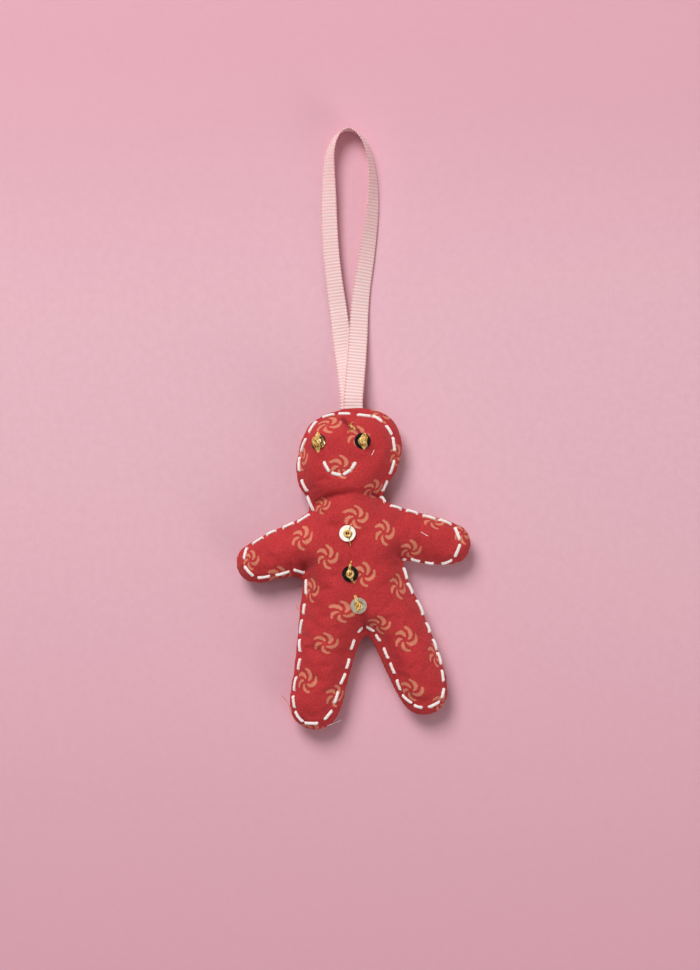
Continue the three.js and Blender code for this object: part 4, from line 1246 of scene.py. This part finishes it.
for trimName, trim in trims.items():
    makeSequin(trimName, trim)
    beadLow, beadHigh = makeBead(trimName, trim)
    makeGoldStitch(trimName, trim, beadLow, beadHigh)
print("sequins, beads and gold stitches", len(trims))


# tie-off knot on the forehead: bars from pixel to pixel, each laid over the last, and the tail
knot = {"bars": [(348.7, 425.2, 355, 429.4), (349, 424, 355.2, 428.2),
                 (353.4, 422.5, 351.6, 427.2)],
        "tail": [(351.1, 428), (349.6, 430.5), (348.1, 433)],
        "rise": 0.45, "step": 0.16, "dip": 0.8}


def makeForeheadKnot():
    bm = bmesh.new()
    for number, (ax, ay, bx, by) in enumerate(knot["bars"]):
        rise = knot["rise"] + knot["step"] * number
        stops = [(ax, ay, -knot["dip"]), (ax, ay, 0.1), ((ax + bx) / 2, (ay + by) / 2, rise),
                 (bx, by, 0.1), (bx, by, -knot["dip"])]
        addGold(bm, [onFront(px, py, lift * mm)[0] for px, py, lift in stops])
    addGold(bm, [onFront(px, py, 0.2 * mm)[0] for px, py in knot["tail"]])
    piece = makeObject("foreheadKnot", bm, goldFloss)
    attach(piece, "doll")
    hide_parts("forehead_stitch")


makeForeheadKnot()


# stray threads caught in the seams and on the cotton: pixels, and height in mm where clear of it
strays = {"half": 0.1, "dark": tint(226, 112, 66), "light": tint(247, 160, 106),
          "cottonEnds": [[(296, 721, 5), (294, 718, 5), (291, 712, 5), (288, 703, 5),
                          (281, 695, 4)],
                         [(303, 612, 5), (299.5, 610, 5), (297, 608, 5), (296.5, 605, 5)]],
          "whiteEnds": [[(371.5, 455, 14), (372.6, 453, 14), (374, 450, 14)],
                        [(421, 532, 12), (425, 534.5, 12), (428, 536, 12)],
                        [(327, 725.5, 5), (331, 724, 5), (336, 722.5, 4.5), (341, 720, 4)]]}
cottonEnd = speckledMaterial("cottonEnd", 3000.0, 3.0, (0.3, 0.7), strays["dark"], strays["light"],
                             {"Roughness": 0.8})


def makeStrays(name, ends, material):
    bm = bmesh.new()
    for line in ends:
        knots = []
        for px, py, z in line:
            hit, normal = frontTree.ray_cast(eye, pixelRay(px, py))[:2]
            knots.append(hit + normal * strays["half"] * mm if hit else pixelAt(px, py, z * mm))
        addThread(bm, smoothPath(knots, 6), strays["half"], goldThread)
    piece = makeObject(name, bm, material)
    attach(piece, "doll")


makeStrays("cottonEnds", strays["cottonEnds"], cottonEnd)
makeStrays("flossEnds", strays["whiteEnds"], whiteFloss)


# loose fibre filling inside
wads = {"shrink": 0.5, "rough": 0.25, "tuftScale": 420, "under": 0.75,
        "dark": tint(222, 220, 214), "light": tint(248, 247, 243)}
fibreFilling = speckledMaterial("fibreFilling", 700.0, 5.0, (0.3, 0.7), wads["dark"],
                                wads["light"], {}, rough=(0.2, 0.8, 0.8, 0.95), bump=0.0003)


def makeWad(node):
    bm = bmesh.new()
    bm.from_mesh(cadNodes[node].data)
    bmesh.ops.remove_doubles(bm, verts=bm.verts, dist=1e-6)
    bmesh.ops.subdivide_edges(bm, edges=bm.edges, cuts=2, use_grid_fill=True)
    for turn in range(3):
        bmesh.ops.smooth_vert(bm, verts=bm.verts, factor=0.5, use_axis_x=True, use_axis_y=True,
                              use_axis_z=True)
    bm.normal_update()
    for v in bm.verts:
        tuft = noise.noise(v.co * wads["tuftScale"]) * wads["rough"]
        v.co -= v.normal * (wads["shrink"] + tuft) * mm
        top = frontTree.ray_cast(Vector((v.co.x, v.co.y, 0.05)), Vector((0, 0, -1)))[0]
        under = backTree.ray_cast(Vector((v.co.x, v.co.y, -0.05)), Vector((0, 0, 1)))[0]
        if top and under:
            v.co.z = max(min(v.co.z, top.z - wads["under"] * mm), under.z + wads["under"] * mm)
    piece = makeObject(pieceName(node.removesuffix("_stuffing"), "Wad"), bm, fibreFilling)
    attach(piece, "doll")
    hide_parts(node)


for node in cadNodes:
    if node.endswith("_stuffing"):
        makeWad(node)
print("filling")


# pink paper table and soft studio light
# the edge colour is painted shade, which the paper darkens to towards its near and far edges
table = {"half": 2.5, "level": -0.0002, "pink": tint(233, 186, 198), "deep": tint(229, 180, 192),
         "edge": tint(224, 163, 178), "nearY": (-0.15, 0.06), "farY": (0.07, 0.17),
         "sweep": (0.22, 0.7)}
studio = {"tone": (1.0, 0.95, 0.96, 1.0), "ring": 0.34, "dim": 0.06, "ceiling": 0.02,
          "backdrop": tint(238, 211, 218)}
lamps = {"keyLight": {"spot": (-0.44, 0.91, 1.05), "aim": (0, 0.02, 0), "size": 0.75,
                      "power": 17.5},
         "fillLight": {"spot": (1.0, -0.9, 0.5), "aim": (0, 0.02, 0), "size": 0.8, "power": 6.9},
         "whiteCard": {"spot": (-0.22, 0.22, 1.3), "aim": (0, 0, 0), "size": 0.5, "power": 1.05},
         "warmCard": {"spot": (0.09, -0.4, 1.3), "aim": (0, 0, 0), "size": 0.4, "power": 0.26,
                      "tone": (1.0, 0.93, 0.82)}}


def paperMaterial():
    material, tree, shader = newMaterial("pinkPaper")
    coords = objectCoords(tree)
    mottle = speckle(tree, coords, 420.0, 4.0)
    grain = speckle(tree, coords, 1400.0, 2.0)
    both = calc(tree, "ADD", calc(tree, "MULTIPLY", mottle, 0.6),
                calc(tree, "MULTIPLY", grain, 0.4))
    parts = tree.nodes.new("ShaderNodeSeparateXYZ")
    tree.links.new(coords, parts.inputs[0])
    paper = mixColor(tree, ramp(tree, both, 0.3, 0.7), table["deep"], table["pink"])
    # painted shade: the paper is coloured darker towards the near and far edges, where the light falls
    # off
    edges = calc(tree, "ADD", ramp(tree, parts.outputs[1], *table["nearY"], 0.8, 0.0),
                 ramp(tree, parts.outputs[1], *table["farY"], 0.0, 0.75))
    tree.links.new(mixColor(tree, edges, paper, table["edge"]), shader.inputs["Base Color"])
    setSockets(shader, {"Roughness": 0.85, "Specular IOR Level": 0.2})
    addBump(tree, shader, both, 0.00006, 0.5)
    # far off, the camera sees the paper run up into the pale backdrop
    distance = tree.nodes.new("ShaderNodeVectorMath")
    distance.operation = "LENGTH"
    tree.links.new(coords, distance.inputs[0])
    seen = tree.nodes.new("ShaderNodeLightPath").outputs["Is Camera Ray"]
    far = calc(tree, "MULTIPLY", ramp(tree, distance.outputs["Value"], *table["sweep"]), seen)
    pale = tree.nodes.new("ShaderNodeEmission")
    pale.inputs["Color"].default_value = studio["backdrop"]
    sweep = tree.nodes.new("ShaderNodeMixShader")
    tree.links.new(far, sweep.inputs[0])
    tree.links.new(shader.outputs[0], sweep.inputs[1])
    tree.links.new(pale.outputs[0], sweep.inputs[2])
    tree.links.new(sweep.outputs[0], tree.nodes["Material Output"].inputs["Surface"])
    return material


def makeTable():
    bm = bmesh.new()
    bmesh.ops.create_grid(bm, x_segments=8, y_segments=8, size=table["half"])
    bmesh.ops.translate(bm, vec=(0, 0, table["level"]), verts=bm.verts)
    piece = makeObject("paperTable", bm, paperMaterial())


def addArea(name, spot, aim, size, power, tone=(1, 1, 1)):
    data = bpy.data.lights.new(name, "AREA")
    data.shape = "DISK"
    data.size = size
    data.energy = power
    data.color = tone
    lamp = bpy.data.objects.new(name, data)
    lamp.location = spot
    lamp.rotation_euler = (Vector(aim) - Vector(spot)).to_track_quat("-Z", "Y").to_euler()
    scene.collection.objects.link(lamp)


# a bright ring round a dark ceiling, and a pale backdrop behind the table
def makeWorld():
    world = bpy.data.worlds.new("studio")
    world.use_nodes = True
    tree = world.node_tree
    backdrop = tree.nodes["Background"]
    lightPath = tree.nodes.new("ShaderNodeLightPath").outputs
    seen = calc(tree, "MAXIMUM", lightPath["Is Camera Ray"], lightPath["Is Glossy Ray"])
    heading = tree.nodes.new("ShaderNodeSeparateXYZ")
    tree.links.new(tree.nodes.new("ShaderNodeTexCoord").outputs["Generated"], heading.inputs[0])
    upward = heading.outputs[2]
    ring = calc(tree, "MULTIPLY", ramp(tree, upward, 0.48, 0.7),
                ramp(tree, upward, 0.82, 0.92, 1.0, 0.0))
    glow = calc(tree, "ADD", calc(tree, "MULTIPLY", ring, studio["ring"]),
                ramp(tree, upward, 0.82, 0.95, studio["dim"], studio["ceiling"]))
    low = calc(tree, "MULTIPLY", ramp(tree, upward, 0.1, 0.3, 1.0, 0.0), seen)
    tree.links.new(mixColor(tree, low, studio["tone"], studio["backdrop"]), backdrop.inputs[0])
    tree.links.new(calc(tree, "MAXIMUM", glow, low), backdrop.inputs[1])
    scene.world = world


makeTable()
for lampName, lamp in lamps.items():
    addArea(lampName, **lamp)
makeWorld()
print("table and lights")
